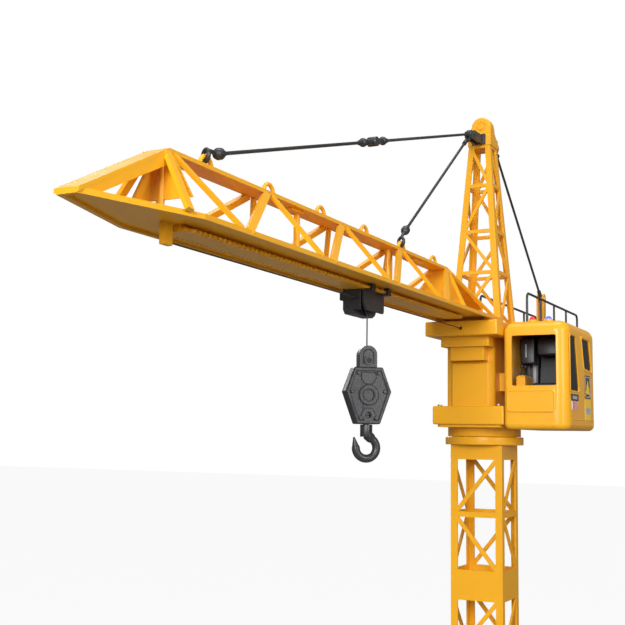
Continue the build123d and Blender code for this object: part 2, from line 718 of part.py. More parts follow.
def cross_plate(x, low):
    """A thin bulkhead between the lattice sides, from the strip down to the height low."""
    slope = (JIB_Y - TOP_Y) / (TOP_Z - STRIP - JIB_Z - SKIRT_H)
    wide = TOP_Y + (TOP_Z - STRIP - low) * slope - 2.0
    narrow = TOP_Y - 1.0
    points = [(-narrow, TOP_Z - STRIP + 0.5), (narrow, TOP_Z - STRIP + 0.5), (wide, low), (-wide, low)]
    return plate_yz(points, x - 0.9, x + 0.9)


def upper_strip(x0, x1):
    """The flat top strip between two stations, bent where it leaves the level stretch."""
    stations = [x0] + [x for x in (node_x(4), NODE_1_X) if x0 < x < x1] + [x1]
    upper = [(x, top_height(x)) for x in stations]
    lower = [(x, z - STRIP) for x, z in reversed(upper)]
    return plate_xz(upper + lower, -TOP_Y, TOP_Y)


def joint_tongues(x):
    """Tongues that overlap the next section's web and strip at a butt joint."""
    low = block(x - 10, x + 9, -18, 18, JIB_Z + SKIRT_H, JIB_Z + SKIRT_H + 2.0)
    high = block(x - 10, x + 9, -5, 5, TOP_Z - STRIP - 2.0, TOP_Z - STRIP)
    return [low, high]


def lugs_between(x0, x1):
    return [lug(k) for k in range(6) if x0 < LUG_X - k * LUG_PITCH < x1]


def jib_section_root():
    x1 = split_x(3)
    pieces = chord_plates(ROOT_X, x1) + [upper_strip(ROOT_X, x1)] + panel_bars(4) + lugs_between(ROOT_X, x1)
    pieces += [cross_plate(node_x(4) + 2.0, JIB_Z + SKIRT_H - 0.3)] + joint_tongues(x1)
    for side in (-1, 1):
        a = (node_x(4) - 8, side * (TOP_Y - 1.5), TOP_Z - STRIP)
        b = (ROOT_X + 10, side * (JIB_Y - 6.0), JIB_Z + SKIRT_H - 0.4)
        pieces.append(bar(a, b, (1, 0, 0), BRACE_W, BAR_T))
    pieces.append(block(ROOT_X, ROOT_X + 3, -TOP_Y, TOP_Y, JIB_Z + SKIRT_H - 0.5, 153.5))
    for x in (ROOT_X + 14, DECK_X - 12):
        pieces += both_sides(block(x - 5, x + 5, 24, 31, DECK_TOP, JIB_Z + SKIRT_H - 0.5))
    bosses = [Pos(118 + 12 * k, 14, JIB_Z + SKIRT_H + 2.4) * Cylinder(2.2, 5.6) for k in range(2)]
    return lift(joined(pieces + bosses))


def jib_section_middle():
    x0 = split_x(3)
    x1 = split_x(1)
    pieces = chord_plates(x0, x1) + [upper_strip(x0, x1)] + lugs_between(x0, x1)
    for k in (2, 3):
        pieces += panel_bars(k)
    pieces += upright(node_x(3) + 10.7, -9.0) + upright(x1 - 7.4, 4.0) + joint_tongues(x1)
    return lift(joined(pieces))


def nose_outline(inset):
    return [(NOSE_X - 1, -JIB_Y + inset), (NOSE_X, -JIB_Y + inset), (TIP_X - inset, -TIP_Y + inset),
            (TIP_X - inset, TIP_Y - inset), (NOSE_X, JIB_Y - inset), (NOSE_X - 1, JIB_Y - inset)]


def jib_section_tip():
    x0 = split_x(1)
    pieces = chord_plates(x0, NOSE_X) + [upper_strip(x0, TIP_X)] + lugs_between(x0, TIP_X)
    for k in (0, 1):
        pieces += panel_bars(k)
    pieces += upright(641.0, 0.6) + [cross_plate(641.0, 152.3)]
    rim = plate_xy(nose_outline(0.0), JIB_Z, JIB_Z + SKIRT_H)
    rim -= plate_xy(nose_outline(SKIRT_W), JIB_Z - 1, JIB_Z + SKIRT_H - WEB)
    pieces.append(rim)
    edge = [(NODE_1_X - 2, TOP_Z - 1), (TIP_X, JIB_Z + SKIRT_H - 0.2), (TIP_X - 18, JIB_Z + SKIRT_H - 0.2),
            (NODE_1_X - 2, TOP_Z - 9.5)]
    pieces += both_sides(plate_xz(edge, TOP_Y - 2.2, TOP_Y - 0.1))
    bracket = block(CORD_END - 3, CORD_END + 6, -2.0, 2.0, CORD_Z - 2.2, JIB_Z + SKIRT_H - 1.0)
    pieces.append(bracket)
    section = joined(pieces)
    section -= rod((CORD_END - 4, 0, CORD_Z), (CORD_END, 0, CORD_Z), CORD_R)
    return lift(section)


def rack_floor():
    return JIB_Z + SKIRT_H - WEB


def trolley_rack():
    """T-shaped rail under the channel with a rack along both edges of its flange."""
    x0 = RACK_TEETH_X[0] - 6
    x1 = RACK_TEETH_X[1] - 4
    low = JIB_Z - 2.6
    pitch_y = RACK_HALF - RACK_ADD
    root_y = pitch_y - RACK_DED
    slope = math.tan(math.radians(20))
    count = int((x1 - x0) / RACK_PITCH)
    start = TROLLEY_X + RACK_PITCH / 2 - RACK_PITCH * math.floor((TROLLEY_X - x0) / RACK_PITCH)
    points = [(x0, root_y)]
    half = 0.4 * RACK_PITCH / 2
    for k in range(count):
        x = start + k * RACK_PITCH
        if x + half + RACK_DED > x1:
            break
        wide = half + RACK_DED * slope
        thin = half - RACK_ADD * slope
        points += [(x - wide, root_y), (x - thin, RACK_HALF), (x + thin, RACK_HALF), (x + wide, root_y)]
    points.append((x1, root_y))
    lower = [(x, -y) for x, y in reversed(points)]
    flange = plate_xy(points + lower, low, low + RACK_FLANGE)
    neck = block(x0, x1, -RACK_NECK, RACK_NECK, low + RACK_FLANGE - 0.2, rack_floor())
    rack = joined([flange, neck])
    return lift(rack)


# ---- tie rods ----
def rod_on_line(a, b, share):
    return tuple(a[i] + (b[i] - a[i]) * share for i in range(3))


def lug_crown(k):
    """The middle of a lug's wire at its highest point."""
    return LUG_X - k * LUG_PITCH, 0.0, TOP_Z + LUG_RISE + LUG_R


def tie_hook(k, ball, toward):
    """A hook ring round a lug's crown, its stub, the ball nut and the start of the rod."""
    x, y, z = lug_crown(k)
    middle = Vector(x, y, z + 0.6)
    across = Vector(math.cos(math.radians(60)), math.sin(math.radians(60)), 0)
    ring_plane = Plane(origin=middle, x_dir=(0, 0, 1), z_dir=across.cross(Vector(0, 0, 1)))
    ring = ring_plane * Torus(HOOK_RING_R, HOOK_RING_WIRE)
    centre = Vector(*ball)
    axis = (Vector(*toward) - centre).normalized()
    stub = rod(middle + Vector(0, 0, HOOK_RING_R), centre, HOOK_RING_WIRE)
    nut = Pos(*ball) * Sphere(BALL_R)
    disc = rod(centre, centre + axis * 3.2, BALL_R + 0.2)
    cone = rod(centre, centre + axis * 8.0, 2.3)
    return [ring, stub, nut, disc, cone]


def outer_places():
    """Both ends of the outer rod's straight line, and the two balls beside its coupler."""
    head = Vector(*rod_pin())
    tip = Vector(*OUTER_BALL)
    axis = (tip - head).normalized()
    near = head + axis * COUPLER_NEAR
    far = near + axis * COUPLER_SPAN
    return head, near, far, tip, axis


def outer_tie_rod_tip():
    head, _, far, tip, axis = outer_places()
    pieces = tie_hook(0, OUTER_BALL, head)
    pieces.append(rod(tip, far, ROD_R))
    pieces.append(Pos(*far) * Sphere(BALL_R))
    pieces.append(rod(far, far + axis * 8.5, 2.3))
    pieces.append(rod(far, far - axis * 9.0, 1.7))
    return lift(joined(pieces))


def pin_eye(y0, y1, radius):
    """An eye that goes round the pin in front of the head."""
    x, _, z = rod_pin()
    return rod((x, y0, z), (x, y1, z), radius)


def pin_bore():
    x, _, z = rod_pin()
    return rod((x, -9, z), (x, 9, z), PIN_R + FIT)


def outer_tie_rod_head():
    head, near, _, _, axis = outer_places()
    pieces = [pin_eye(-2.7, 0.0, 4.6)]
    pieces.append(rod(head + axis * 2.4 + Vector(0, -1.35, 0), head + axis * 9.0, 1.3))
    pieces.append(rod(head + axis * 8.0, near, ROD_R))
    pieces.append(rod(head + axis * 8.0, head + axis * 14.0, 2.3))
    pieces.append(Pos(*near) * Sphere(BALL_R))
    pieces.append(rod(near - axis * 8.5, near, 2.3))
    pieces.append(rod(near, near + axis * 9.0, 1.7))
    return lift(joined(pieces) - pin_bore())


def tie_rod_coupler():
    _, near, far, _, axis = outer_places()
    body = rod(near + axis * (BALL_R + 0.4), far - axis * (BALL_R + 0.4), 3.0)
    body -= rod(near, near + axis * 9.4, 1.7 + FIT)
    body -= rod(far - axis * 9.4, far, 1.7 + FIT)
    middle = (near + far) * 0.5
    knuckle = rod(middle - Vector(0, 4.4, 0), middle + Vector(0, 4.4, 0), 4.4)
    return lift(joined([body, knuckle]))


def inner_tie_rod():
    head = Vector(*rod_pin())
    ball = Vector(*INNER_BALL)
    low = Vector(*INNER_HEAD)
    axis = (low - ball).normalized()
    pieces = tie_hook(4, INNER_BALL, INNER_HEAD)
    pieces.append(rod(ball, low, ROD_R))
    pieces.append(rod(low - axis * 8.0, low, 2.4))
    pieces.append(pin_eye(0.1, 2.7, 4.6))
    pieces.append(bar(head + Vector(2.5, 1.4, -3.0), low + Vector(0, 1.4, 0), (0, 1, 0), 2.6, 4.0))
    return lift(joined(pieces) - pin_bore())


def stay_points():
    return (-38.0, 0.0, 366.0), (-250.0, 0.0, 201.0)


def rear_stay_rod():
    high, low = stay_points()
    axis = (Vector(*low) - Vector(*high)).normalized()
    upper = Vector(*high)
    lower = Vector(*low)
    pieces = [rod(upper + axis * 3.4, lower - axis * 4.0, 1.5)]
    pieces.append(Pos(*(upper + axis * 20.0)) * Sphere(3.4))
    pieces.append(rod(lower - axis * 14, lower - axis * 4.0, 2.6))
    for place, radius in ((high, 3.4), (low, 4.8)):
        eye = rod((place[0], -2.2, place[2]), (place[0], 2.2, place[2]), radius)
        pieces.append(eye)
    stay = joined(pieces)
    for place in (high, low):
        stay -= rod((place[0], -3.0, place[2]), (place[0], 3.0, place[2]), 1.8 + FIT)
    return lift(stay)


# ---- counter-jib ----
def counter_jib_frame():
    low = JIB_Z + SKIRT_H - TAIL_H
    top = JIB_Z + SKIRT_H
    x0 = -TAIL_X
    x1 = -ROOT_X
    sides = both_sides(block(x0, x1, JIB_Y - 3.0, JIB_Y, DECK_TOP, top))
    sides += both_sides(block(x0, -DECK_BACK, JIB_Y - 3.0, JIB_Y, low, top))
    floor = block(x0, x1, -JIB_Y, JIB_Y, top - 2.2, top)
    pads = [block(x1 - 26, x1 - 2, -26, 26, DECK_TOP, top - 1)]
    ribs = [block(x - 1.5, x + 1.5, -JIB_Y + 1, JIB_Y - 1, low + 1, top) for x in (-100.0, -240.0, -338.0)]
    _, stay = stay_points()
    ears = [block(stay[0] - 6, stay[0] + 6, side * 2.6, side * 5.0, top - 1, stay[2]) for side in (-1, 1)]
    ears += [rod((stay[0], side * 2.6, stay[2]), (stay[0], side * 5.0, stay[2]), 6.0) for side in (-1, 1)]
    foot = block(stay[0] - 12, stay[0] + 12, -9, 9, top - 0.5, top + 4)
    pin = rod((stay[0], -6.4, stay[2]), (stay[0], 6.4, stay[2]), 1.8)
    frame = joined(sides + [floor] + pads + ribs + ears + [foot, pin])
    for k in range(4):
        x = -88.0 - 36.0 * k
        if abs(x + 160) < 45:
            continue
        frame -= block(x - 10, x + 10, -18, 18, top - 3, top + 1)
    return lift(frame)


def counterweights():
    top = JIB_Z + SKIRT_H - 2.2
    blocks = []
    for k in range(3):
        x = -262.0 - 25.0 * k
        slab = block(x - 11.5, x + 11.5, -28, 28, top - 46, top)
        slab = chamfer(slab.edges().filter_by(Axis.X), 3.0)
        blocks.append(lift(slab))
    return blocks


def handrail(side):
    """A bent wire rail with its two ends and three more posts let into the deck's edge."""
    y = side * RAIL_Y
    top = JIB_Z + SKIRT_H
    points = [(-RAIL_X0, y, top), (-RAIL_X0, y, RAIL_TOP), (-RAIL_X1, y, RAIL_TOP), (-RAIL_X1, y, top)]
    path = FilletPolyline(*points, radius=7.0)
    pieces = [sweep(Plane(origin=points[0], z_dir=(0, 0, 1)) * Circle(RAIL_WIRE), path=path)]
    for k in range(1, RAIL_BAYS):
        x = -RAIL_X0 - (RAIL_X1 - RAIL_X0) * k / RAIL_BAYS
        pieces.append(rod((x, y, top), (x, y, RAIL_TOP), RAIL_WIRE - 0.1))
    return lift(joined(pieces))


def battery_size():
    return -232.0, -112.0, 30.0, JIB_Z + SKIRT_H - 2.2


def battery_box():
    x0, x1, y, top = battery_size()
    case = block(x0, x1, -y, y, top - 26, top)
    case = fillet(case.edges().filter_by(Axis.Z), 3.0)
    case -= block(x0 + SHELL, x1 - SHELL, -y + SHELL, y - SHELL, top - 27, top - SHELL)
    slot = block(-152, -140, y - 4, y + 1, top - 17, top - 11)
    return lift(case - slot)


def battery_cover():
    x0, x1, y, top = battery_size()
    lid = block(x0, x1, -y, y, top - 28.4, top - 26)
    lid = fillet(lid.edges().filter_by(Axis.Z), 3.0)
    inset = SHELL + PLUG
    lip = block(x0 + inset, x1 - inset, -y + inset, y - inset, top - 27, top - 24.5)
    grips = [block(x0 + 12 + 4 * k, x0 + 14 + 4 * k, -12, 12, top - 29.2, top - 28) for k in range(4)]
    return lift(joined([lid, lip] + grips))


def battery_cells():
    x0, _, _, top = battery_size()
    cells = []
    for k in range(4):
        y = (k - 1.5) * (2 * CELL_R + 0.6)
        cell = rod((x0 + 6, y, top - 14), (x0 + 6 + CELL_L, y, top - 14), CELL_R)
        tip = rod((x0 + 5 + CELL_L, y, top - 14), (x0 + 7.4 + CELL_L, y, top - 14), 1.9)
        cells.append(lift(joined([cell, tip])))
    return cells


def power_switch():
    _, _, y, top = battery_size()
    knob = block(-149.0, -146.0, y - 6, y + 1.6, top - 15.5, top - 12.5)
    plate = block(-151.5, -143.5, y - 3.4, y - 2.8, top - 18, top - 10)
    return lift(joined([knob, plate]))


# ---- cab ----
def cab_body(shrink):
    """The cab's rounded block, smaller all round by the wall for its inside."""
    s = shrink
    body = block(-CAB_BACK + s, CAB_X - s, CAB_Y0 + s, CAB_Y1 - s, CAB_LOW + s, CAB_TOP - s)
    outer = [e for e in body.edges().filter_by(Axis.Z) if e.center().Y > CAB_Y1 - s - 1]
    body = fillet(outer, 15.0 - s)
    inner = [e for e in body.edges().filter_by(Axis.Z) if e.center().Y < CAB_Y0 + s + 1]
    body = fillet(inner, 4.0 - s)
    body = fillet(body.faces().sort_by(Axis.Z)[-1].edges(), 12.0 - s if s else 12.0)
    return fillet(body.faces().sort_by(Axis.Z)[0].edges(), 6.0 - s if s else 6.0)


def window(points, y0, y1, gap=0.0):
    """A rounded window outline as a plate, drawn in by a gap all round."""
    face = make_face(Polyline(*[(x, 0, z) for x, z in points], close=True))
    face = fillet(face.vertices(), 3.0)
    if gap:
        face = offset(face, amount=-gap)
    return Pos(0, y0, 0) * extrude(face, amount=y1 - y0, dir=(0, 1, 0))


def side_window_front():
    return [(49.0, 119.0), (26.0, 119.0), (11.5, 60.0), (49.0, 60.0)]


def side_window_rear():
    return [(-2.0, 119.5), (-37.0, 119.5), (-49.0, 85.5), (-14.0, 87.0)]


def cab_shell():
    shell = cab_body(0.0) - cab_body(CAB_WALL)
    front = block(CAB_X - 10, CAB_X + 5, 51.0, 99.5, 64.5, 119.0)
    shell -= fillet(front.edges().filter_by(Axis.X), 2.0)
    shell -= window(side_window_front(), CAB_Y1 - 10, CAB_Y1 + 5)
    shell -= window(side_window_rear(), CAB_Y1 - 10, CAB_Y1 + 5)
    emboss = block(CAB_X - 1.0, CAB_X + 0.9, 46.5, 97.5, 37.0, 59.0)
    emboss = fillet(emboss.edges().filter_by(Axis.X), 4.0)
    shell += emboss
    ear = block(-20, 30, COLUMN_Y, CAB_Y0 + 1, 60, 80)
    lamps = [Pos(44, y, CAB_TOP + 0.6) * Cylinder(4.6, 3.2) for y in (70.0, 88.0)]
    return lift(joined([shell, ear] + lamps))


def lamp_lens(y):
    dome = Pos(44, y, CAB_TOP + 2.2) * Sphere(3.6)
    dome -= block(30, 60, y - 10, y + 10, CAB_TOP - 10, CAB_TOP + 2.2)
    return lift(dome)


def cab_side_windows():
    """Dark panes let into the two window openings of the cab's outer side."""
    low = CAB_Y1 - CAB_WALL
    outlines = (side_window_front(), side_window_rear())
    return [lift(window(points, low + 0.4, low + PANE_OUT, PLUG)) for points in outlines]


def cab_inner():
    return (-CAB_BACK + CAB_WALL, CAB_X - CAB_WALL, CAB_Y0 + CAB_WALL, CAB_Y1 - CAB_WALL, CAB_LOW + CAB_WALL)


def cab_interior():
    x0, x1, y0, y1, z0 = cab_inner()
    floor = block(x0 + 16, x1 - 6, y0 + 6, y1 - 16, z0 + 30, z0 + 33)
    back = block(-34, -31, y0 + 4, y1 - 6, z0 + 30, 122)
    legs = [block(-34, -31, y, y + 6, z0, z0 + 31) for y in (y0 + 8, y1 - 24)]
    legs += [block(x1 - 12, x1 - 9, y, y + 6, z0, z0 + 31) for y in (y0 + 8, y1 - 24)]
    return lift(joined([floor, back] + legs))


def cab_seat():
    _, _, _, _, z0 = cab_inner()
    low = z0 + 33
    base = block(-16, 8, 64, 90, low, low + 10)
    cushion = fillet(block(-18, 14, 61, 93, low + 10, low + 17).edges(), 2.5)
    rest = bar((-17, 77, low + 12), (-24, 77, low + 50), (0, 1, 0), 30.0, 7.0)
    head = bar((-24.5, 77, low + 48), (-26, 77, low + 62), (0, 1, 0), 18.0, 6.0)
    return lift(joined([base, cushion, rest, head]))


def cab_console():
    _, _, _, _, z0 = cab_inner()
    low = z0 + 33
    side = block(8, 40, 50, 60, low, low + 24)
    side = chamfer(side.faces().sort_by(Axis.Z)[-1].edges(), 2.0)
    desk = block(28, 44, 60, 88, low, low + 12)
    return lift(joined([side, desk]))


def cab_levers():
    _, _, _, _, z0 = cab_inner()
    top = z0 + 33 + 24
    levers = []
    for x in (18.0, 32.0):
        stick = rod((x, 55, top + 0.8), (x + 2, 55, top + 9), 0.9)
        knob = Pos(x + 2.3, 55, top + 10.2) * Sphere(2.2)
        boot = Pos(x, 55, top + 0.9) * Cylinder(2.6, 1.8)
        levers.append(lift(joined([stick, knob, boot])))
    return levers


# ---- trolley ----
def pinion_centre():
    radius = RACK_PITCH * TROLLEY_TEETH / (2 * math.pi)
    return TROLLEY_X, -(RACK_HALF - RACK_ADD + radius)


def trolley_frame():
    x0 = TROLLEY_X - TROLLEY_HALF
    x1 = TROLLEY_X + TROLLEY_HALF
    low = JIB_Z - 2.6
    plate_top = low - CLEAR
    plate = block(x0, x1, -13.4, 7.0, plate_top - 2.0, plate_top)
    near = [(x0, plate_top), (x1, plate_top), (x1, TROLLEY_LOW + 8.5), (x1 - 5.5, TROLLEY_LOW + 3.4),
            (x0 + 1.5, TROLLEY_LOW + 3.4), (x0, TROLLEY_LOW + 4.9)]
    cheek = plate_xz(near, 4.8, 7.0)
    far = [(x0, plate_top), (x1 + 1, plate_top), (x1 + 1, TROLLEY_LOW + 3.5), (x1 - 2.5, TROLLEY_LOW),
           (x0 + 2, TROLLEY_LOW), (x0, TROLLEY_LOW + 2)]
    housing = plate_xz(far, -13.4, -2.9)
    housing -= block(x0 + 3.0, x1 - 3.0, -12.0, -4.3, TROLLEY_LOW + 2.0, plate_top - 3.0)
    front = block(x1 - 1.5, x1 + 1.0, -4.0, 3.6, TROLLEY_LOW + 3.5, plate_top)
    front -= rod((x1 - 3.0, 0, CORD_Z), (x1 + 3.0, 0, CORD_Z), CORD_R + CLEAR)
    px, py = pinion_centre()
    ledge = block(px - 12, px + 12, py - 4.5, -13.0, plate_top - 7.5, plate_top)
    shoes = []
    lip_z = low + RACK_FLANGE + CLEAR
    for x in (x0 + 0.5, x1 - 7.5):
        for side in (-1, 1):
            y0 = side * (RACK_HALF + CLEAR)
            y1 = side * (RACK_HALF + 2.4)
            shoes.append(block(x, x + 7, side * 6.0, y1, plate_top - 1.6, plate_top))
            shoes.append(block(x, x + 7, y0, y1, plate_top - 1, lip_z + 1.3))
            shoes.append(block(x, x + 7, side * 9.6, y1, lip_z, lip_z + 1.3))
    sheave_x, _, sheave_z = sheave_centre()
    sheave_axle = rod((sheave_x, -3.5, sheave_z), (sheave_x, 5.5, sheave_z), SHEAVE_PIN)
    frame = joined([plate, cheek, housing, front, ledge, sheave_axle] + shoes)
    frame -= Pos(px, py, plate_top - 3) * Cylinder(1.5 + FIT, 12.0)
    return lift(frame)


def trolley_motor():
    low = JIB_Z - 2.6 - CLEAR
    y = -8.15
    can = rod((TROLLEY_X - 14, y, low - 10.5), (TROLLEY_X + 8, y, low - 10.5), 3.6)
    shaft = rod((TROLLEY_X + 7, y, low - 10.5), (TROLLEY_X + 14, y, low - 10.5), 0.8)
    saddle = block(TROLLEY_X - 12, TROLLEY_X + 6, -11.8, -4.5, TROLLEY_LOW + 2.0, low - 11.0)
    return lift(joined([can, shaft, saddle]))


def trolley_pinion():
    px, py = pinion_centre()
    radius = RACK_PITCH * TROLLEY_TEETH / (2 * math.pi)
    low = JIB_Z - 2.6
    outline = gear_outline(TROLLEY_TEETH, radius, RACK_ADD, RACK_DED, 0.38, 90)
    wheel = plate_xy(outline, low + 0.15, low + RACK_FLANGE - 0.15)
    shaft = Pos(0, 0, low - 2.0) * Cylinder(1.5, 6.4)
    return lift(Pos(px, py, 0) * joined([wheel, shaft]))


def sheave_centre():
    """The guide wheel stands beside the drop line and under the jib cord."""
    return TROLLEY_X - CORD_R - CLEAR - SHEAVE_R, 0.0, CORD_Z - CORD_R - CLEAR - SHEAVE_R


def guide_sheave():
    x, _, z = sheave_centre()
    bore = SHEAVE_PIN + FIT
    rim = SHEAVE_R + 1.2
    half = 2.5
    profile = Polyline((bore, -half), (rim, -half), (rim, -1.9), (SHEAVE_R, -1.0), (SHEAVE_R, 1.0),
                       (rim, 1.9), (rim, half), (bore, half), close=True)
    wheel = revolve(make_face(profile), axis=Axis.Y)
    return lift(Pos(x, 0, z) * wheel)


def jib_cord():
    x, _, _ = drum_centre()
    return lift(rod((x, 0, CORD_Z), (CORD_END, 0, CORD_Z), CORD_R))


def line_top():
    return sheave_centre()[2]


def hoist_line():
    return lift(rod((TROLLEY_X, 0, BLOCK_TOP - 4.0), (TROLLEY_X, 0, line_top()), CORD_R))


# ---- hook block ----
def place_block(piece):
    return lift(Pos(TROLLEY_X, 0, 0) * Rot(0, 0, BLOCK_YAW) * piece)


def hex_points(inset):
    top = BLOCK_HEX_TOP - inset
    low = BLOCK_HEX_LOW + inset
    mid = BLOCK_HEX_TOP - 21.5
    return [(-13.0 + inset / 2, top), (13.0 - inset / 2, top), (BLOCK_HALF - inset, mid),
            (10.6 - inset / 2, low), (-10.6 + inset / 2, low), (-BLOCK_HALF + inset, mid)]


def block_half(side):
    """One moulded half of the block; the block's face looks along its own +X."""
    t = BLOCK_T / 2
    body = plate_yz(hex_points(0.0), 0, side * t)
    body = fillet(body.edges().filter_by(Axis.X), 1.6)
    face = body.faces().sort_by(Axis.X)[-1 if side > 0 else 0]
    body = chamfer(face.edges(), 1.0)
    recess = plate_yz(hex_points(2.8), side * (t - 0.9), side * (t + 1))
    body -= recess
    eye = block(0, side * (t - 1.8), -8.0, 8.0, BLOCK_HEX_TOP - 2, BLOCK_TOP - 8.0)
    eye += rod((0, 0, BLOCK_TOP - 8.0), (side * (t - 1.8), 0, BLOCK_TOP - 8.0), 8.0)
    dish = rod((side * (t - 2.6), 0, BLOCK_TOP - 12.5), (side * (t + 1), 0, BLOCK_TOP - 12.5), 2.4)
    rings = rod((side * (t - 2), 0, 43.0), (side * (t + 0.2), 0, 43.0), 8.3)
    rings -= rod((side * (t - 0.8), 0, 43.0), (side * (t + 1), 0, 43.0), 5.2)
    body = joined([body, eye, rings])
    body -= dish
    pad = Plane(origin=(0, 0, 25.6), x_dir=(0, 1, 0), z_dir=(side, 0, 0)) * RegularPolygon(6.6, 6)
    pad = Pos(side * (t - 1.2), 0, 0) * extrude(pad, amount=0.8)
    badge = plate_yz([(-6.6, 60.5), (6.6, 60.5), (7.0, 57.5), (4.0, 52.8), (-4.0, 52.8), (-7.0, 57.5)],
                     side * (t - 1.2), side * (t - 0.5))
    body = joined([body, pad, badge])
    body -= rod((side * (t - 2.6), 0, 25.6), (side * (t + 1), 0, 25.6), 2.3)
    body -= rod((0, 0, BLOCK_TOP - 4.2), (0, 0, BLOCK_TOP + 1), CORD_R + 0.02)
    body -= rod((0, 0, BLOCK_HEX_LOW - 1), (0, 0, BLOCK_HEX_LOW + 8), SWIVEL_R + FIT)
    body -= rod((0, 0, BLOCK_HEX_LOW + 4), (0, 0, BLOCK_HEX_LOW + 7.5 + CLEAR), SWIVEL_R + 1.4 + CLEAR)
    for y, z in block_screw_places():
        body -= rod((side * (t - 2.4), y, z), (side * (t + 1), y, z), 1.1)
    return body


def block_screw_places():
    mid = BLOCK_HEX_TOP - 21.5
    low = BLOCK_HEX_LOW + 5.2
    return (-9.4, 62.2), (9.4, 62.2), (-15.0, mid), (15.0, mid), (-7.2, low), (7.2, low)


def hook_block_screws():
    t = BLOCK_T / 2
    screws = []
    for side in (-1, 1):
        for y, z in block_screw_places():
            head = rod((side * (t - 0.9), y, z), (side * (t + 0.5), y, z), 1.8)
            head = fillet(head.faces().sort_by(Axis.X)[-1 if side > 0 else 0].edges(), 0.5)
            stem = rod((side * (t - 2.3), y, z), (side * (t - 0.8), y, z), 1.05)
            screws.append(place_block(joined([head, stem])))
    return screws


def crane_hook():
    """Hook on a swivel shank; it opens towards the block's own -Y."""
    radius = HOOK_EYE + HOOK_WIRE
    z = HOOK_LOW + HOOK_EYE + 2 * HOOK_WIRE
    pin = rod((0, 0, BLOCK_HEX_LOW - 3.0), (0, 0, BLOCK_HEX_LOW + 7.0), SWIVEL_R)
    nut = rod((0, 0, BLOCK_HEX_LOW + 4.0 + CLEAR), (0, 0, BLOCK_HEX_LOW + 7.5), SWIVEL_R + 1.4)
    collar = rod((0, 0, BLOCK_HEX_LOW - 11.0), (0, 0, BLOCK_HEX_LOW - CLEAR), 5.4)
    collar -= block(3.6, 8, 1.2, 2.4, BLOCK_HEX_LOW - 12, BLOCK_HEX_LOW)
    bend = []
    for degrees in (60, 0, -90, -134, -178):
        a = math.radians(degrees)
        bend.append((0, radius * math.cos(a), z + radius * math.sin(a)))
    arc = ThreePointArc(bend[0], bend[1], bend[2]) + ThreePointArc(bend[2], bend[3], bend[4])
    bowl = sweep(Plane(origin=bend[0], z_dir=(0, math.sin(math.radians(60)), -math.cos(math.radians(60))))
                 * Circle(HOOK_WIRE), path=arc)
    throat = rod((0, 0.6, BLOCK_HEX_LOW - 9.0), bend[0], HOOK_WIRE + 0.9)
    cheek = Pos(*bend[0]) * Sphere(HOOK_WIRE + 0.35)
    knuckle = Pos(*bend[4]) * Sphere(HOOK_WIRE)
    point = Vector(0, -1.9, 9.6)
    tip = Plane(origin=bend[4], z_dir=point) * Cone(HOOK_WIRE, 0.7, point.length,
                                                    align=(Align.CENTER, Align.CENTER, Align.MIN))
    return place_block(joined([pin, nut, collar, bowl, throat, cheek, knuckle, tip]))


def build():
    save("base_frame", [base_frame()])
    save("base_feet", base_feet())
    save("ballast_blocks", ballast_blocks())
    save("base_struts", base_struts())
    save("strut_collar", [strut_collar()])
    for k in range(MAST_SECTIONS):
        save(f"mast_section_{k + 1}", [mast_section(HUB_H + k * SECTION_H)])
    save("slew_ring_base", [slew_ring_base()])
    save("pivot_retainer", [pivot_retainer()])
    save("slew_pinion", [slew_pinion()])
    save("slew_motor", [slew_motor()])
    save("slew_housing", [slew_housing()])
    save("column_shell_front", [column_shell_front()])
    save("column_shell_rear", [column_shell_rear()])
    save("jib_platform", [jib_platform()])
    save("hoist_drum", [hoist_drum()])
    save("hoist_motor", [hoist_motor()])
    save("circuit_board", [circuit_board()])
    save("casing_screws", casing_screws())
    save("tower_head_frame", [tower_head_frame()])
    save("head_cap", [head_cap()])
    save("tail_plate", [tail_plate()])
    save("head_bracket", [head_bracket()])
    save("jib_section_root", [jib_section_root()])
    save("jib_section_middle", [jib_section_middle()])
    save("jib_section_tip", [jib_section_tip()])
    save("trolley_rack", [trolley_rack()])
    save("outer_tie_rod_tip", [outer_tie_rod_tip()])
    save("outer_tie_rod_head", [outer_tie_rod_head()])
    save("tie_rod_coupler", [tie_rod_coupler()])
    save("inner_tie_rod", [inner_tie_rod()])
    save("rear_stay_rod", [rear_stay_rod()])
    save("counter_jib_frame", [counter_jib_frame()])
    save("counterweights", counterweights())
    save("handrails", [handrail(-1), handrail(1)])
    save("battery_box", [battery_box()])
    save("battery_cover", [battery_cover()])
    save("battery_cells", battery_cells())
    save("power_switch", [power_switch()])
    save("cab_shell", [cab_shell()])
    save("lamp_lens_red", [lamp_lens(70.0)])
    save("lamp_lens_blue", [lamp_lens(88.0)])
    save("cab_side_windows", cab_side_windows())
    save("cab_interior", [cab_interior()])
    save("cab_seat", [cab_seat()])
    save("cab_console", [cab_console()])
    save("cab_levers", cab_levers())
    save("trolley_frame", [trolley_frame()])
    save("trolley_motor", [trolley_motor()])
    save("trolley_pinion", [trolley_pinion()])
    save("guide_sheave", [guide_sheave()])
    save("jib_cord", [jib_cord()])
    save("hoist_line", [hoist_line()])
    save("hook_block_front", [place_block(block_half(1))])
    save("hook_block_rear", [place_block(block_half(-1))])
    save("hook_block_screws", hook_block_screws())
    save("crane_hook", [crane_hook()])


build()
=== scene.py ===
import math
import bpy
from mathutils import Matrix, Vector


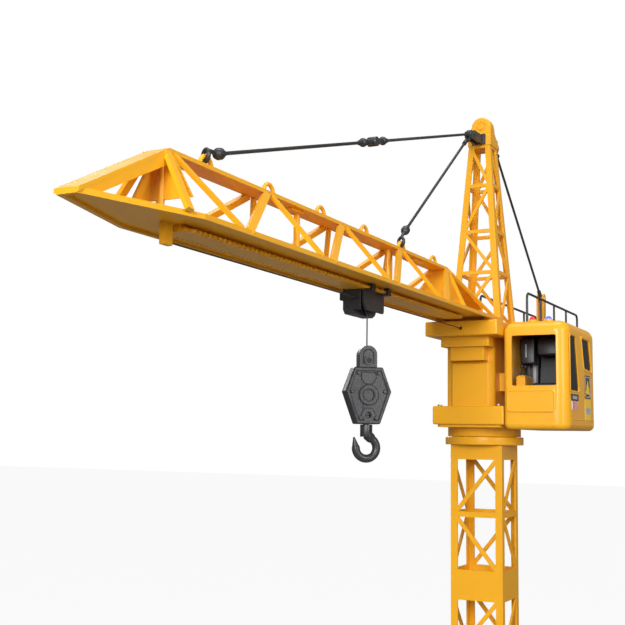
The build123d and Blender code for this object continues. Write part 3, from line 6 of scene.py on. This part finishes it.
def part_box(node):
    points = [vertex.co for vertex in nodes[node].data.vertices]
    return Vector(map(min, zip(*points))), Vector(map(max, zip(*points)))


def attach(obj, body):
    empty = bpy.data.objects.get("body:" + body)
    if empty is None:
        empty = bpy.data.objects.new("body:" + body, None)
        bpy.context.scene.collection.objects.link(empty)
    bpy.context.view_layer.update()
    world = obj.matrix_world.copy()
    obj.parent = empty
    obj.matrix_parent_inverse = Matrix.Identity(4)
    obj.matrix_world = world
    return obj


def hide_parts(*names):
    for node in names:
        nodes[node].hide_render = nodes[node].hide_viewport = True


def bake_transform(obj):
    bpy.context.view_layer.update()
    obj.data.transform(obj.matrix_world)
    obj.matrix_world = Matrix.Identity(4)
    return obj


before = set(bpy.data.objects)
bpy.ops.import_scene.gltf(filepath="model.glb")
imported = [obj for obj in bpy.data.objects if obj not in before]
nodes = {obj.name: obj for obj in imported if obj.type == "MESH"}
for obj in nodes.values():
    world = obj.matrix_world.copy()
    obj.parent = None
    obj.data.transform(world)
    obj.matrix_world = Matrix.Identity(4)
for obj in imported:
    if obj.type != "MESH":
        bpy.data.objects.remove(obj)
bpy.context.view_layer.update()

# ---- Camera ----
# The crane is seen from below the jib's level, in front of the nose and on the cab's side.
# The lens is fairly long, and the camera leans a little off level.
ring_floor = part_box("slew_ring_base")[0].z
for item in bpy.context.selected_objects:
    item.select_set(False)

camera_lift = 0.00445
camera_place = Vector((1.1735, 0.3868, ring_floor + camera_lift))
camera_heading = math.radians(27.553)
camera_rise = math.radians(6.827)
camera_roll = math.radians(0.834)
camera_data = bpy.data.cameras.new("studio_camera")
camera_data.sensor_width = 36.0
camera_data.lens = 60.6
camera_data.clip_start = 0.01
camera_data.clip_end = 60.0
camera = bpy.data.objects.new("studio_camera", camera_data)
bpy.context.scene.collection.objects.link(camera)
level = math.cos(camera_rise)
sight = Vector((-math.cos(camera_heading) * level, -math.sin(camera_heading) * level,
                math.sin(camera_rise)))
right = Vector((-math.sin(camera_heading), math.cos(camera_heading), 0.0))
upward = right.cross(sight)
rolled_right = right * math.cos(camera_roll) + upward * math.sin(camera_roll)
rolled_up = upward * math.cos(camera_roll) - right * math.sin(camera_roll)
turn = Matrix((rolled_right, rolled_up, -sight)).transposed().to_4x4()
camera.matrix_world = Matrix.Translation(camera_place) @ turn
bpy.context.scene.camera = camera
bpy.context.scene.view_settings.view_transform = "Standard"


# ---- Studio floor and lights ----
# A wide matt floor that looks white and meets a white sky.  A large soft key light stands
# beyond the nose, a broad light and a narrow strip on the cab's side, one lies overhead and
# one stands behind the tower.
def plain_material(name, colour, roughness):
    """A material with a Principled shader; returns the material, its nodes, its links and the shader."""
    material = bpy.data.materials.new(name)
    material.use_nodes = True
    shader = material.node_tree.nodes["Principled BSDF"]
    shader.inputs["Base Color"].default_value = (*colour, 1.0)
    shader.inputs["Roughness"].default_value = roughness
    return material, material.node_tree.nodes, material.node_tree.links, shader


def only_active(piece):
    """Selects one object alone, so that an operator works on nothing else."""
    for item in bpy.context.selected_objects:
        item.select_set(False)
    piece.select_set(True)
    bpy.context.view_layer.objects.active = piece


floor_grey = (0.30, 0.30, 0.30)
floor_glow_strength = 1.16
floor_glow_share = 0.80
floor_drop = 0.0005
floor_material, floor_nodes, floor_links, floor_shader = plain_material("white_floor", floor_grey, 0.9)
floor_marks = floor_nodes.new("ShaderNodeTexNoise")
floor_marks.inputs["Scale"].default_value = 3.0
floor_bump = floor_nodes.new("ShaderNodeBump")
floor_bump.inputs["Strength"].default_value = 0.02
floor_links.new(floor_marks.outputs["Fac"], floor_bump.inputs["Height"])
floor_links.new(floor_bump.outputs["Normal"], floor_shader.inputs["Normal"])
floor_sight = floor_nodes.new("ShaderNodeLightPath")
floor_glow = floor_nodes.new("ShaderNodeEmission")
floor_glow.inputs["Strength"].default_value = floor_glow_strength
floor_share = floor_nodes.new("ShaderNodeMath")
floor_share.operation = "MULTIPLY"
floor_share.inputs[1].default_value = floor_glow_share
floor_mix = floor_nodes.new("ShaderNodeMixShader")
floor_links.new(floor_sight.outputs["Is Camera Ray"], floor_share.inputs[0])
floor_links.new(floor_share.outputs[0], floor_mix.inputs[0])
floor_links.new(floor_shader.outputs[0], floor_mix.inputs[1])
floor_links.new(floor_glow.outputs[0], floor_mix.inputs[2])
floor_links.new(floor_mix.outputs[0], floor_nodes["Material Output"].inputs["Surface"])
bpy.ops.mesh.primitive_plane_add(size=40.0, location=(0.0, 0.0, -floor_drop))
floor = bpy.context.active_object
floor.name = "studio_floor"
floor.data.materials.append(floor_material)

# The sky is white where the camera looks, and lights the crane with a weaker, warmer wash.
world = bpy.data.worlds.new("studio_sky")
world.use_nodes = True
sky_nodes = world.node_tree.nodes
sky_links = world.node_tree.links
sky_wash = sky_nodes["Background"]
sky_wash.inputs["Color"].default_value = (1.0, 0.98, 0.95, 1.0)
sky_wash.inputs["Strength"].default_value = 0.25
sky_white = sky_nodes.new("ShaderNodeBackground")
sky_white.inputs["Color"].default_value = (1.0, 1.0, 1.0, 1.0)
sky_white.inputs["Strength"].default_value = 1.0
sky_sight = sky_nodes.new("ShaderNodeLightPath")
sky_mix = sky_nodes.new("ShaderNodeMixShader")
sky_links.new(sky_sight.outputs["Is Camera Ray"], sky_mix.inputs[0])
sky_links.new(sky_wash.outputs[0], sky_mix.inputs[1])
sky_links.new(sky_white.outputs[0], sky_mix.inputs[2])
sky_links.new(sky_mix.outputs[0], sky_nodes["World Output"].inputs["Surface"])
bpy.context.scene.world = world


def soft_light(name, place, target, width, height, watts):
    """A rectangular area light that looks at a target."""
    data = bpy.data.lights.new(name, "AREA")
    data.shape = "RECTANGLE"
    data.size = width
    data.size_y = height
    data.energy = watts
    lamp = bpy.data.objects.new(name, data)
    bpy.context.scene.collection.objects.link(lamp)
    lamp.location = place
    lamp.rotation_euler = (Vector(target) - Vector(place)).to_track_quat("-Z", "Y").to_euler()


tower_middle = (0.1, 0.0, ring_floor + 0.12)
soft_light("key_light", (2.4, 0.45, 1.45), tower_middle, 1.2, 1.0, 49.0)
soft_light("side_light", (1.2, 2.4, 1.6), tower_middle, 0.9, 1.4, 20.0)
soft_light("corner_strip", (0.95, 1.55, 1.35), tower_middle, 0.12, 1.5, 6.0)
soft_light("top_light", (0.2, 0.1, 3.0), tower_middle, 1.6, 1.0, 24.0)
soft_light("back_light", (-2.0, -1.9, 1.9), tower_middle, 1.2, 1.2, 30.0)


# ---- Moulded yellow plastic: base, mast, ring, column, platform, tower head, jib and cab ----
# Injection-moulded ABS, dyed right through, with a satin mould finish.  Every piece comes out
# of its mould with slightly rounded edges and is plugged or screwed to the next.
def new_group(name, inputs, outputs):
    """An empty shader node group with named sockets."""
    group = bpy.data.node_groups.new(name, "ShaderNodeTree")
    for label, kind in inputs:
        group.interface.new_socket(name=label, in_out="INPUT", socket_type=kind)
    for label, kind in outputs:
        group.interface.new_socket(name=label, in_out="OUTPUT", socket_type=kind)
    return group, group.nodes.new("NodeGroupInput"), group.nodes.new("NodeGroupOutput")


def mould_skin_group():
    """Colour that drifts a little, gloss in faint flow marks, and a fine spark-eroded grain."""
    group, given, put = new_group(
        "mould_skin",
        [("Tint", "NodeSocketColor"), ("Deep Tint", "NodeSocketColor"),
         ("Patch Scale", "NodeSocketFloat"), ("Grain Scale", "NodeSocketFloat"),
         ("Gloss", "NodeSocketFloat"), ("Gloss Spread", "NodeSocketFloat"),
         ("Relief", "NodeSocketFloat")],
        [("Color", "NodeSocketColor"), ("Roughness", "NodeSocketFloat"), ("Normal", "NodeSocketVector")])
    n, link = group.nodes, group.links
    place = n.new("ShaderNodeTexCoord")
    patch = n.new("ShaderNodeTexNoise")
    patch.inputs["Detail"].default_value = 4.0
    link.new(place.outputs["Object"], patch.inputs["Vector"])
    link.new(given.outputs["Patch Scale"], patch.inputs["Scale"])
    spread = n.new("ShaderNodeMapRange")
    spread.inputs["From Min"].default_value = 0.35
    spread.inputs["From Max"].default_value = 0.7
    link.new(patch.outputs["Fac"], spread.inputs["Value"])
    mix = n.new("ShaderNodeMix")
    mix.data_type = "RGBA"
    link.new(spread.outputs["Result"], mix.inputs["Factor"])
    link.new(given.outputs["Tint"], mix.inputs["A"])
    link.new(given.outputs["Deep Tint"], mix.inputs["B"])
    link.new(mix.outputs["Result"], put.inputs["Color"])
    flow = n.new("ShaderNodeTexNoise")
    flow.inputs["Scale"].default_value = 38.0
    flow.inputs["Detail"].default_value = 3.0
    flow.inputs["Distortion"].default_value = 0.6
    link.new(place.outputs["Object"], flow.inputs["Vector"])
    scaled = n.new("ShaderNodeMath")
    scaled.operation = "MULTIPLY"
    link.new(flow.outputs["Fac"], scaled.inputs[0])
    link.new(given.outputs["Gloss Spread"], scaled.inputs[1])
    gloss = n.new("ShaderNodeMath")
    gloss.operation = "ADD"
    link.new(scaled.outputs[0], gloss.inputs[0])
    link.new(given.outputs["Gloss"], gloss.inputs[1])
    link.new(gloss.outputs[0], put.inputs["Roughness"])
    grain = n.new("ShaderNodeTexNoise")
    grain.inputs["Detail"].default_value = 2.0
    link.new(place.outputs["Object"], grain.inputs["Vector"])
    link.new(given.outputs["Grain Scale"], grain.inputs["Scale"])
    bump = n.new("ShaderNodeBump")
    bump.inputs["Distance"].default_value = 0.00006
    link.new(grain.outputs["Fac"], bump.inputs["Height"])
    link.new(given.outputs["Relief"], bump.inputs["Strength"])
    link.new(bump.outputs["Normal"], put.inputs["Normal"])
    return group


mould_skin = mould_skin_group()


def moulded(name, tint, deep, patch=9.0, grain=2600.0, gloss=0.26, gloss_spread=0.12, relief=0.25,
            coat=0.0):
    """Moulded plastic with the mould skin; its constant values stay on the shader's sockets."""
    material, n, link, shader = plain_material(name, tint, 0.35)
    skin = n.new("ShaderNodeGroup")
    skin.node_tree = mould_skin
    skin.inputs["Tint"].default_value = (*tint, 1.0)
    skin.inputs["Deep Tint"].default_value = (*deep, 1.0)
    skin.inputs["Patch Scale"].default_value = patch
    skin.inputs["Grain Scale"].default_value = grain
    skin.inputs["Gloss"].default_value = gloss
    skin.inputs["Gloss Spread"].default_value = gloss_spread
    skin.inputs["Relief"].default_value = relief
    link.new(skin.outputs["Color"], shader.inputs["Base Color"])
    link.new(skin.outputs["Roughness"], shader.inputs["Roughness"])
    link.new(skin.outputs["Normal"], shader.inputs["Normal"])
    shader.inputs["IOR"].default_value = 1.53
    shader.inputs["Coat Weight"].default_value = coat
    shader.inputs["Coat Roughness"].default_value = 0.12
    return material


def finish(node, material, edge=0.0):
    """Gives a CAD node its material and, where edge is set, softly rounded edges of that radius."""
    piece = nodes[node]
    piece.data.materials.clear()
    piece.data.materials.append(material)
    if edge:
        weld = piece.modifiers.new("weld", "WELD")
        weld.merge_threshold = 0.00001
        bevel = piece.modifiers.new("edge", "BEVEL")
        bevel.width = edge
        bevel.segments = 2
        bevel.limit_method = "ANGLE"
        bevel.angle_limit = math.radians(38.0)
        bevel.harden_normals = True
    return piece


crane_yellow = moulded("crane_yellow_abs", (0.86, 0.415, 0.014), (0.80, 0.37, 0.010), gloss=0.27,
                       coat=0.10)
crane_yellow.node_tree.nodes["Principled BSDF"].inputs["Specular IOR Level"].default_value = 0.36
yellow_lattice = ["base_frame", "base_struts", "strut_collar", "slew_ring_base", "tower_head_frame",
                  "head_cap", "tail_plate", "jib_section_root", "jib_section_middle",
                  "jib_section_tip", "trolley_rack", "counter_jib_frame"]
yellow_lattice += [f"mast_section_{k}" for k in range(1, 6)]
yellow_housings = ["slew_housing", "column_shell_front", "column_shell_rear", "jib_platform",
                   "cab_shell"]
for name in yellow_lattice:
    finish(name, crane_yellow, 0.0004)
for name in yellow_housings:
    finish(name, crane_yellow, 0.0005)

# ---- Black moulded plastic: rods, bracket, trolley, hook block, drum, battery case, cab inside ----
# Charcoal nylon and ABS with a satin skin that catches a grey sheen along its edges.  The rods
# clip to the jib's eyes and the head's bracket, and the hook block is two screwed halves.
charcoal = moulded("charcoal_nylon", (0.026, 0.026, 0.030), (0.018, 0.018, 0.021), patch=22.0,
                   grain=3200.0, gloss=0.30, gloss_spread=0.16, relief=0.5)
for name in ("guide_sheave", "outer_tie_rod_tip", "outer_tie_rod_head", "tie_rod_coupler",
             "inner_tie_rod", "rear_stay_rod", "head_bracket", "trolley_frame", "hook_block_front",
             "hook_block_rear", "hook_block_screws", "crane_hook", "battery_box", "battery_cover",
             "hoist_drum"):
    finish(name, charcoal, 0.00035)
for name in ("cab_interior", "cab_seat", "cab_levers"):
    finish(name, charcoal, 0.0004)
finish("handrails", charcoal)

# ---- Base feet, ballast and counterweights ----
# Soft rubber feet pressed under the ends of the base's arms, and heavy ballast blocks and
# counterweights cast in grey with a coarse matt skin.
foot_rubber = moulded("foot_rubber", (0.02, 0.02, 0.02), (0.014, 0.014, 0.014), gloss=0.7,
                      gloss_spread=0.2, relief=1.0)
ballast_grey = moulded("ballast_grey", (0.16, 0.165, 0.17), (0.13, 0.133, 0.14), grain=900.0,
                       gloss=0.55, gloss_spread=0.2, relief=1.2)
finish("base_feet", foot_rubber)
finish("ballast_blocks", ballast_grey, 0.0006)
finish("counterweights", ballast_grey, 0.0006)

# ---- Motors, screws, gears, board, cells, switch, console and dark panes ----
# Steel motor cans and screws, white nylon gears, a green circuit board and wrapped cells, all
# held inside the housings.  The switch's knob is red, and the cab's side panes are near black.
steel = moulded("brushed_can_steel", (0.42, 0.42, 0.43), (0.36, 0.36, 0.37), gloss=0.28,
                gloss_spread=0.2, relief=0.6)
steel.node_tree.nodes["Principled BSDF"].inputs["Metallic"].default_value = 1.0
nylon = moulded("white_nylon", (0.72, 0.72, 0.68), (0.66, 0.66, 0.62), gloss=0.4)
board_green = moulded("board_green", (0.02, 0.16, 0.06), (0.015, 0.12, 0.045), patch=160.0, gloss=0.3)
cell_wrap = moulded("cell_wrap", (0.03, 0.06, 0.22), (0.025, 0.05, 0.18), gloss=0.2)
knob_red = moulded("knob_red", (0.5, 0.02, 0.02), (0.42, 0.015, 0.015), gloss=0.25)
glazing_black = moulded("glazing_black", (0.006, 0.006, 0.008), (0.004, 0.004, 0.005), gloss=0.06,
                        gloss_spread=0.05, relief=0.05)
glazing_black.node_tree.nodes["Principled BSDF"].inputs["Specular IOR Level"].default_value = 0.04
for name in ("pivot_retainer", "slew_motor", "hoist_motor", "casing_screws", "trolley_motor"):
    finish(name, steel, 0.0002)
for name in ("slew_pinion", "trolley_pinion"):
    finish(name, nylon)
finish("circuit_board", board_green)
finish("battery_cells", cell_wrap)
finish("power_switch", knob_red, 0.0003)
finish("cab_console", crane_yellow, 0.0004)
finish("cab_side_windows", glazing_black)


# ---- Beacon lenses ----
# Two tinted clear domes moulded with fine ripples, red and blue, that sit on the cab's roof
# over small lamps and glow faintly.
def lens(name, colour):
    """Tinted clear plastic with a faint glow and a rippled skin."""
    material, n, link, shader = plain_material(name, colour, 0.08)
    place = n.new("ShaderNodeTexCoord")
    flutes = n.new("ShaderNodeTexNoise")
    flutes.inputs["Scale"].default_value = 600.0
    link.new(place.outputs["Object"], flutes.inputs["Vector"])
    bump = n.new("ShaderNodeBump")
    bump.inputs["Strength"].default_value = 0.3
    bump.inputs["Distance"].default_value = 0.0002
    link.new(flutes.outputs["Fac"], bump.inputs["Height"])
    link.new(bump.outputs["Normal"], shader.inputs["Normal"])
    shader.inputs["Transmission Weight"].default_value = 0.6
    shader.inputs["Emission Color"].default_value = (*colour, 1.0)
    shader.inputs["Emission Strength"].default_value = 0.6
    return material


finish("lamp_lens_red", lens("lens_red", (0.9, 0.05, 0.04)))
finish("lamp_lens_blue", lens("lens_blue", (0.06, 0.2, 0.9)))

# ---- Cab trim: window borders, pressed front panel, stickers and the moulding behind the window ----
# Thin plastic borders and printed foil stickers on the cab's side and front, without lettering,
# and the black moulding with its bolster and belt that shows through the front window.
def outlined(name, corners, outward, thick, rounding, edge, material, body="upperworks", rim=0.0):
    """A plate with rounded corners on a flat outline; a rim leaves only a border of that width."""
    bpy.ops.mesh.primitive_circle_add(vertices=len(corners), radius=0.01, fill_type="NGON")
    piece = bpy.context.active_object
    piece.name = name
    only_active(piece)
    for vertex, corner in zip(piece.data.vertices, corners):
        vertex.co = corner
    bpy.ops.object.mode_set(mode="EDIT")
    bpy.ops.mesh.select_all(action="SELECT")
    if rounding:
        bpy.ops.mesh.bevel(affect="VERTICES", offset=rounding, offset_type="OFFSET", segments=5)
        bpy.ops.mesh.select_all(action="SELECT")
    if rim:
        bpy.ops.mesh.inset(thickness=rim)
        bpy.ops.mesh.delete(type="FACE")
        bpy.ops.mesh.select_all(action="SELECT")
    bpy.ops.mesh.extrude_region_move(TRANSFORM_OT_translate={"value": tuple(Vector(outward) * thick)})
    bpy.ops.mesh.select_all(action="SELECT")
    bpy.ops.mesh.normals_make_consistent(inside=False)
    bpy.ops.object.mode_set(mode="OBJECT")
    if edge:
        soft = piece.modifiers.new("soft_edge", "BEVEL")
        soft.width = edge
        soft.segments = 3
        soft.limit_method = "ANGLE"
        soft.angle_limit = math.radians(50.0)
        bpy.ops.object.modifier_apply(modifier="soft_edge")
    bpy.ops.object.shade_smooth_by_angle(angle=math.radians(35.0))
    piece.data.materials.clear()
    piece.data.materials.append(material)
    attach(piece, body)
    return piece


def from_ring(x, y, z):
    """A place in millimetres from the foot of the slewing ring."""
    return Vector((x / 1000.0, y / 1000.0, ring_floor + z / 1000.0))


def on_side(points, proud=0.0):
    """Outline points (x, z) on the cab's outer side."""
    return [from_ring(x, cab_side + proud, z) for x, z in points]


def on_front(points, x):
    """Outline points (y, z) on a plane across the crane at x."""
    return [from_ring(x, y, z) for y, z in points]


def box_points(low_a, high_a, low_z, high_z):
    """The four corners of an upright rectangle, as (a, z) points."""
    return [(high_a, high_z), (low_a, high_z), (low_a, low_z), (high_a, low_z)]


cab_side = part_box("cab_shell")[1].y * 1000.0
foil_black = moulded("foil_black", (0.010, 0.010, 0.011), (0.007, 0.007, 0.008), patch=60.0, gloss=0.22)
foil_grey = moulded("foil_grey", (0.42, 0.43, 0.45), (0.36, 0.37, 0.39), patch=60.0, gloss=0.25)
foil_white = moulded("foil_white", (0.84, 0.84, 0.82), (0.78, 0.78, 0.76), patch=60.0, gloss=0.25)
foil_red = moulded("foil_red", (0.58, 0.03, 0.025), (0.50, 0.022, 0.02), patch=60.0, gloss=0.25)
foil_lemon = moulded("foil_lemon", (0.95, 0.62, 0.004), (0.90, 0.56, 0.003), patch=60.0, gloss=0.25)
sideways = (0.0, 1.0, 0.0)
forward = (1.0, 0.0, 0.0)

# Moulded borders, each sunk a little into the shell so that it joins the surface.
sunk = -0.3
panel_face = 59.8
rear_window = [(1.0, 122.5), (-40.0, 122.5), (-53.5, 82.5), (-12.0, 84.0)]
side_window = [(51.0, 121.0), (25.0, 121.0), (9.0, 58.0), (51.0, 58.0)]
crease = box_points(-58.0, 44.0, 28.4, 29.6)
front_panel = box_points(45.6, 98.4, 36.0, 60.0)
window_border = outlined("rear_window_border", on_side(rear_window, sunk), sideways, thick=0.0011,
                         rounding=0.0045, edge=0.00035, material=crane_yellow, rim=0.0022)
side_border = outlined("side_window_border", on_side(side_window, sunk), sideways, thick=0.0009,
                       rounding=0.004, edge=0.0003, material=crane_yellow, rim=0.0016)
side_crease = outlined("cab_side_crease", on_side(crease, sunk), sideways, thick=0.0008,
                       rounding=0.0, edge=0.0003, material=crane_yellow)
front_border = outlined("front_panel_border", on_front(front_panel, panel_face), forward, thick=0.0016,
                        rounding=0.0045, edge=0.0005, material=crane_yellow, rim=0.0017)

# Foil stickers: name, outline, how far it is laid proud, corner radius, foil and slot.
foil_thick = 0.00025
print_thick = 0.0002
print_lift = 0.2
plate_outline = [(47.5, 56.0), (13.5, 56.0), (15.5, 48.8), (46.5, 48.8)]
bar_outline = [(40.0, 54.2), (21.0, 54.2), (22.0, 50.6), (39.5, 50.6)]
ground_outline = [(45.0, 48.2), (17.0, 48.2), (21.0, 39.0), (43.5, 39.0)]
stickers = [
    ("sticker_plate", plate_outline, 0.0, 0.0008, foil_black, "black_plastic"),
    ("sticker_bar", bar_outline, print_lift, 0.0006, foil_grey, "white_nylon"),
    ("sticker_ground", ground_outline, 0.0, 0.0, foil_white, "white_nylon"),
    ("warning_plate", box_points(-43.0, -16.5, 53.5, 79.5), 0.0, 0.0018, foil_black, "black_plastic"),
    ("lemon_panel", box_points(-43.0, -15.5, 27.5, 52.5), 0.0, 0.0006, foil_lemon, "yellow_plastic"),
    ("lemon_bar", box_points(-41.0, -19.0, 36.0, 43.0), print_lift, 0.0006, foil_grey, "white_nylon"),
]
for name, points, proud, rounding, foil, slot in stickers:
    sticker = outlined(name, on_side(points, proud), sideways, foil_thick, rounding, 0.0, foil)
first_stripe_x = 22.0
stripe_pitch = 5.6
stripe_top = 48.0
stripe_foot = 39.2
for number in range(4):
    low_x = first_stripe_x + stripe_pitch * number
    bar = [(low_x + 1.6, stripe_top), (low_x - 1.6, stripe_top),
           (low_x - 0.6, stripe_foot), (low_x + 2.4, stripe_foot)]
    stripe = outlined(f"sticker_stripe_{number + 1}", on_side(bar, print_lift), sideways, print_thick,
                      rounding=0.0, edge=0.0, material=foil_red)
warning_frame = box_points(-41.4, -18.1, 55.1, 77.9)
warning_line = outlined("warning_outline", on_side(warning_frame, print_lift), sideways, print_thick,
                        rounding=0.0015, edge=0.0, material=foil_white, rim=0.0006)
triangle = [(-29.8, 74.5), (-38.5, 58.5), (-21.0, 58.5)]
warning_sign = outlined("warning_triangle", on_side(triangle, print_lift), sideways, print_thick,
                        rounding=0.0012, edge=0.0, material=foil_lemon)

# The moulding behind the front window: name, outline, x, thickness, corner radius, finish.
cab_moulding = [
    ("cab_bolster", box_points(45.0, 60.5, 52.0, 121.0), -31.0, 0.017, 0.003, charcoal),
    ("cab_bolster_rib", box_points(47.0, 51.5, 55.0, 118.0), -15.0, 0.0028, 0.001, charcoal),
    ("cab_upper_box_left", box_points(45.2, 61.5, 92.0, 121.0), -14.0, 0.021, 0.002, charcoal),
    ("cab_upper_box_right", box_points(64.0, 86.0, 102.0, 121.0), -14.0, 0.018, 0.002, charcoal),
    ("cab_belt", box_points(54.0, 57.6, 58.0, 118.0), -14.2, 0.0010, 0.0004, foil_grey),
    ("cab_box_handle", box_points(51.0, 53.0, 99.0, 114.0), 6.8, 0.0012, 0.0005, foil_grey),
]
edge_share = 0.6
for name, points, x, thick, corner, material in cab_moulding:
    part = outlined(name, on_front(points, x), forward, thick, corner, corner * edge_share, material)

# ---- Hook block painted groove shade and eye boss ----
# The outlines of the panels, ring, badge, pad and eye on both faces of the hook block, laid on
# as thin matt black lines of painted shadow in the moulded grooves, and the eye's round boss.
block_yaw = math.radians(43.0)
line_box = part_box("hoist_line")
block_x = (line_box[0].x + line_box[1].x) / 2 * 1000.0
# Painted groove shade: a near-black colour, darker than the charcoal block, where the grooves' shadow
# falls.
painted_groove_shade = moulded("painted_groove_shade", (0.004, 0.004, 0.0045), (0.003, 0.003, 0.003), patch=60.0, gloss=0.5)


def on_block(points, out):
    """Outline points (across, height) on a face of the hook block, out from its middle."""
    along = Vector((math.cos(block_yaw), math.sin(block_yaw), 0.0))
    across = Vector((-math.sin(block_yaw), math.cos(block_yaw), 0.0))
    middle = from_ring(block_x, 0.0, 0.0)
    return [middle + along * (out / 1000.0) + across * (y / 1000.0) + Vector((0.0, 0.0, z / 1000.0))
            for y, z in points]


def circle_points(radius, height, count):
    """A ring of (across, height) points round the block's middle line."""
    turns = [2 * math.pi * k / count for k in range(count)]
    return [(radius * math.cos(turn), height + radius * math.sin(turn)) for turn in turns]


eye_half = 5.2
eye_foot = 70.5
eye_spring = 78.5
eye_arch = [(eye_half * math.cos(math.radians(a)), eye_spring + eye_half * math.sin(math.radians(a)))
            for a in range(20, 180, 20)]
eye_outline = [(eye_half, eye_foot), (eye_half, eye_spring)] + eye_arch
eye_outline += [(-eye_half, eye_spring), (-eye_half, eye_foot)]
hex_outline = [(-11.7, 64.9), (11.7, 64.9), (18.3, 46.0), (9.3, 20.2), (-9.3, 20.2), (-18.3, 46.0)]
badge_outline = [(-6.9, 63.4), (6.9, 63.4), (7.3, 58.0), (4.2, 52.4), (-4.2, 52.4), (-7.3, 58.0)]
ring_height = 43.0
ring_gap_outline = circle_points(9.6, ring_height, 32)
ring_bore_outline = circle_points(5.9, ring_height, 32)
pad_height = 25.6
pad_outline = circle_points(7.3, pad_height, 6)
screw_well_outline = circle_points(3.1, pad_height, 20)
boss_height = 73.4
boss_outline = circle_points(3.9, boss_height, 24)
eye_well_outline = circle_points(2.5, boss_height, 20)
for face, side in (("front", 1), ("rear", -1)):
    outward = Vector((math.cos(block_yaw), math.sin(block_yaw), 0.0)) * side
    # Name, outline, distance out (mm), thickness (m), corner radius (mm), rim width (m), finish.
    lines = [
        # Every line but the eye boss carries painted groove shade.
        (f"block_{face}_border", hex_outline, 6.05, 0.0004, 0.8, 0.0011, painted_groove_shade),
        (f"block_{face}_ring_gap", ring_gap_outline, 6.05, 0.0004, 0.0, 0.0012, painted_groove_shade),
        (f"block_{face}_ring_bore", ring_bore_outline, 7.15, 0.0002, 0.0, 0.0011, painted_groove_shade),
        (f"block_{face}_badge_gap", badge_outline, 6.05, 0.0006, 0.5, 0.0009, painted_groove_shade),
        (f"block_{face}_pad_gap", pad_outline, 6.05, 0.0006, 0.4, 0.0009, painted_groove_shade),
        (f"block_{face}_screw_well", screw_well_outline, 6.4, 0.0003, 0.0, 0.0009, painted_groove_shade),
        (f"block_{face}_eye_slot", eye_outline, 5.15, 0.0005, 0.0, 0.0010, painted_groove_shade),
        (f"block_{face}_eye_boss", boss_outline, 5.0, 0.0012, 0.0, 0.0015, charcoal),
        (f"block_{face}_eye_well", eye_well_outline, 4.9, 0.0006, 0.0, 0.0, painted_groove_shade),
    ]
    for name, points, out, thick, rounding, rim, material in lines:
        line = outlined(name, on_block(points, out * side), outward, thick, rounding / 1000.0, 0.0,
                        material, body="hook_block", rim=rim)

# ---- Jib cord and hoist line ----
# Two lengths of black braided cord.  The jib cord runs tight from the drum to its anchor under
# the nose; the hoist line hangs from the trolley's guide wheel and carries the hook block.
cord_black = moulded("cord_black", (0.02, 0.02, 0.021), (0.05, 0.05, 0.052), patch=900.0,
                     grain=5200.0, gloss=0.5, gloss_spread=0.2, relief=1.0)
cord_width = 0.0012


def straight_cord(name, start, end, rings):
    """A round cord between two points, as a mesh tube with rings along its length."""
    run = Vector(end) - Vector(start)
    bpy.ops.mesh.primitive_cylinder_add(vertices=12, radius=cord_width / 2, depth=run.length,
                                        location=(Vector(start) + Vector(end)) / 2,
                                        rotation=run.to_track_quat("Z", "Y").to_euler())
    piece = bpy.context.active_object
    piece.name = name
    only_active(piece)
    bpy.ops.object.transform_apply(location=True, rotation=True, scale=True)
    bpy.ops.object.mode_set(mode="EDIT")
    bpy.ops.mesh.select_all(action="SELECT")
    for ring in range(1, rings + 1):
        ring_place = Vector(start) + run * (ring / (rings + 1))
        bpy.ops.mesh.bisect(plane_co=tuple(ring_place), plane_no=tuple(run.normalized()))
        bpy.ops.mesh.select_all(action="SELECT")
    bpy.ops.object.mode_set(mode="OBJECT")
    bpy.ops.object.shade_smooth_by_angle(angle=math.radians(50))
    piece.data.materials.clear()
    piece.data.materials.append(cord_black)
    return piece


jib_low, jib_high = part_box("jib_cord")
cord_height = (jib_low.z + jib_high.z) / 2
jib_start = (jib_low.x, 0.0, cord_height)
jib_end = (jib_high.x, 0.0, cord_height)
jib_line = straight_cord("jib_cord_braid", jib_start, jib_end, 4)
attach(jib_line, "upperworks")
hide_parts("jib_cord")

line_low, line_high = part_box("hoist_line")
line_x = (line_low.x + line_high.x) / 2
line_top = (line_x, 0.0, line_high.z)
line_foot = (line_x, 0.0, line_low.z)
hoist_cord = straight_cord("hoist_line_braid", line_top, line_foot, 6)
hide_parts("hoist_line")
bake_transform(hoist_cord)
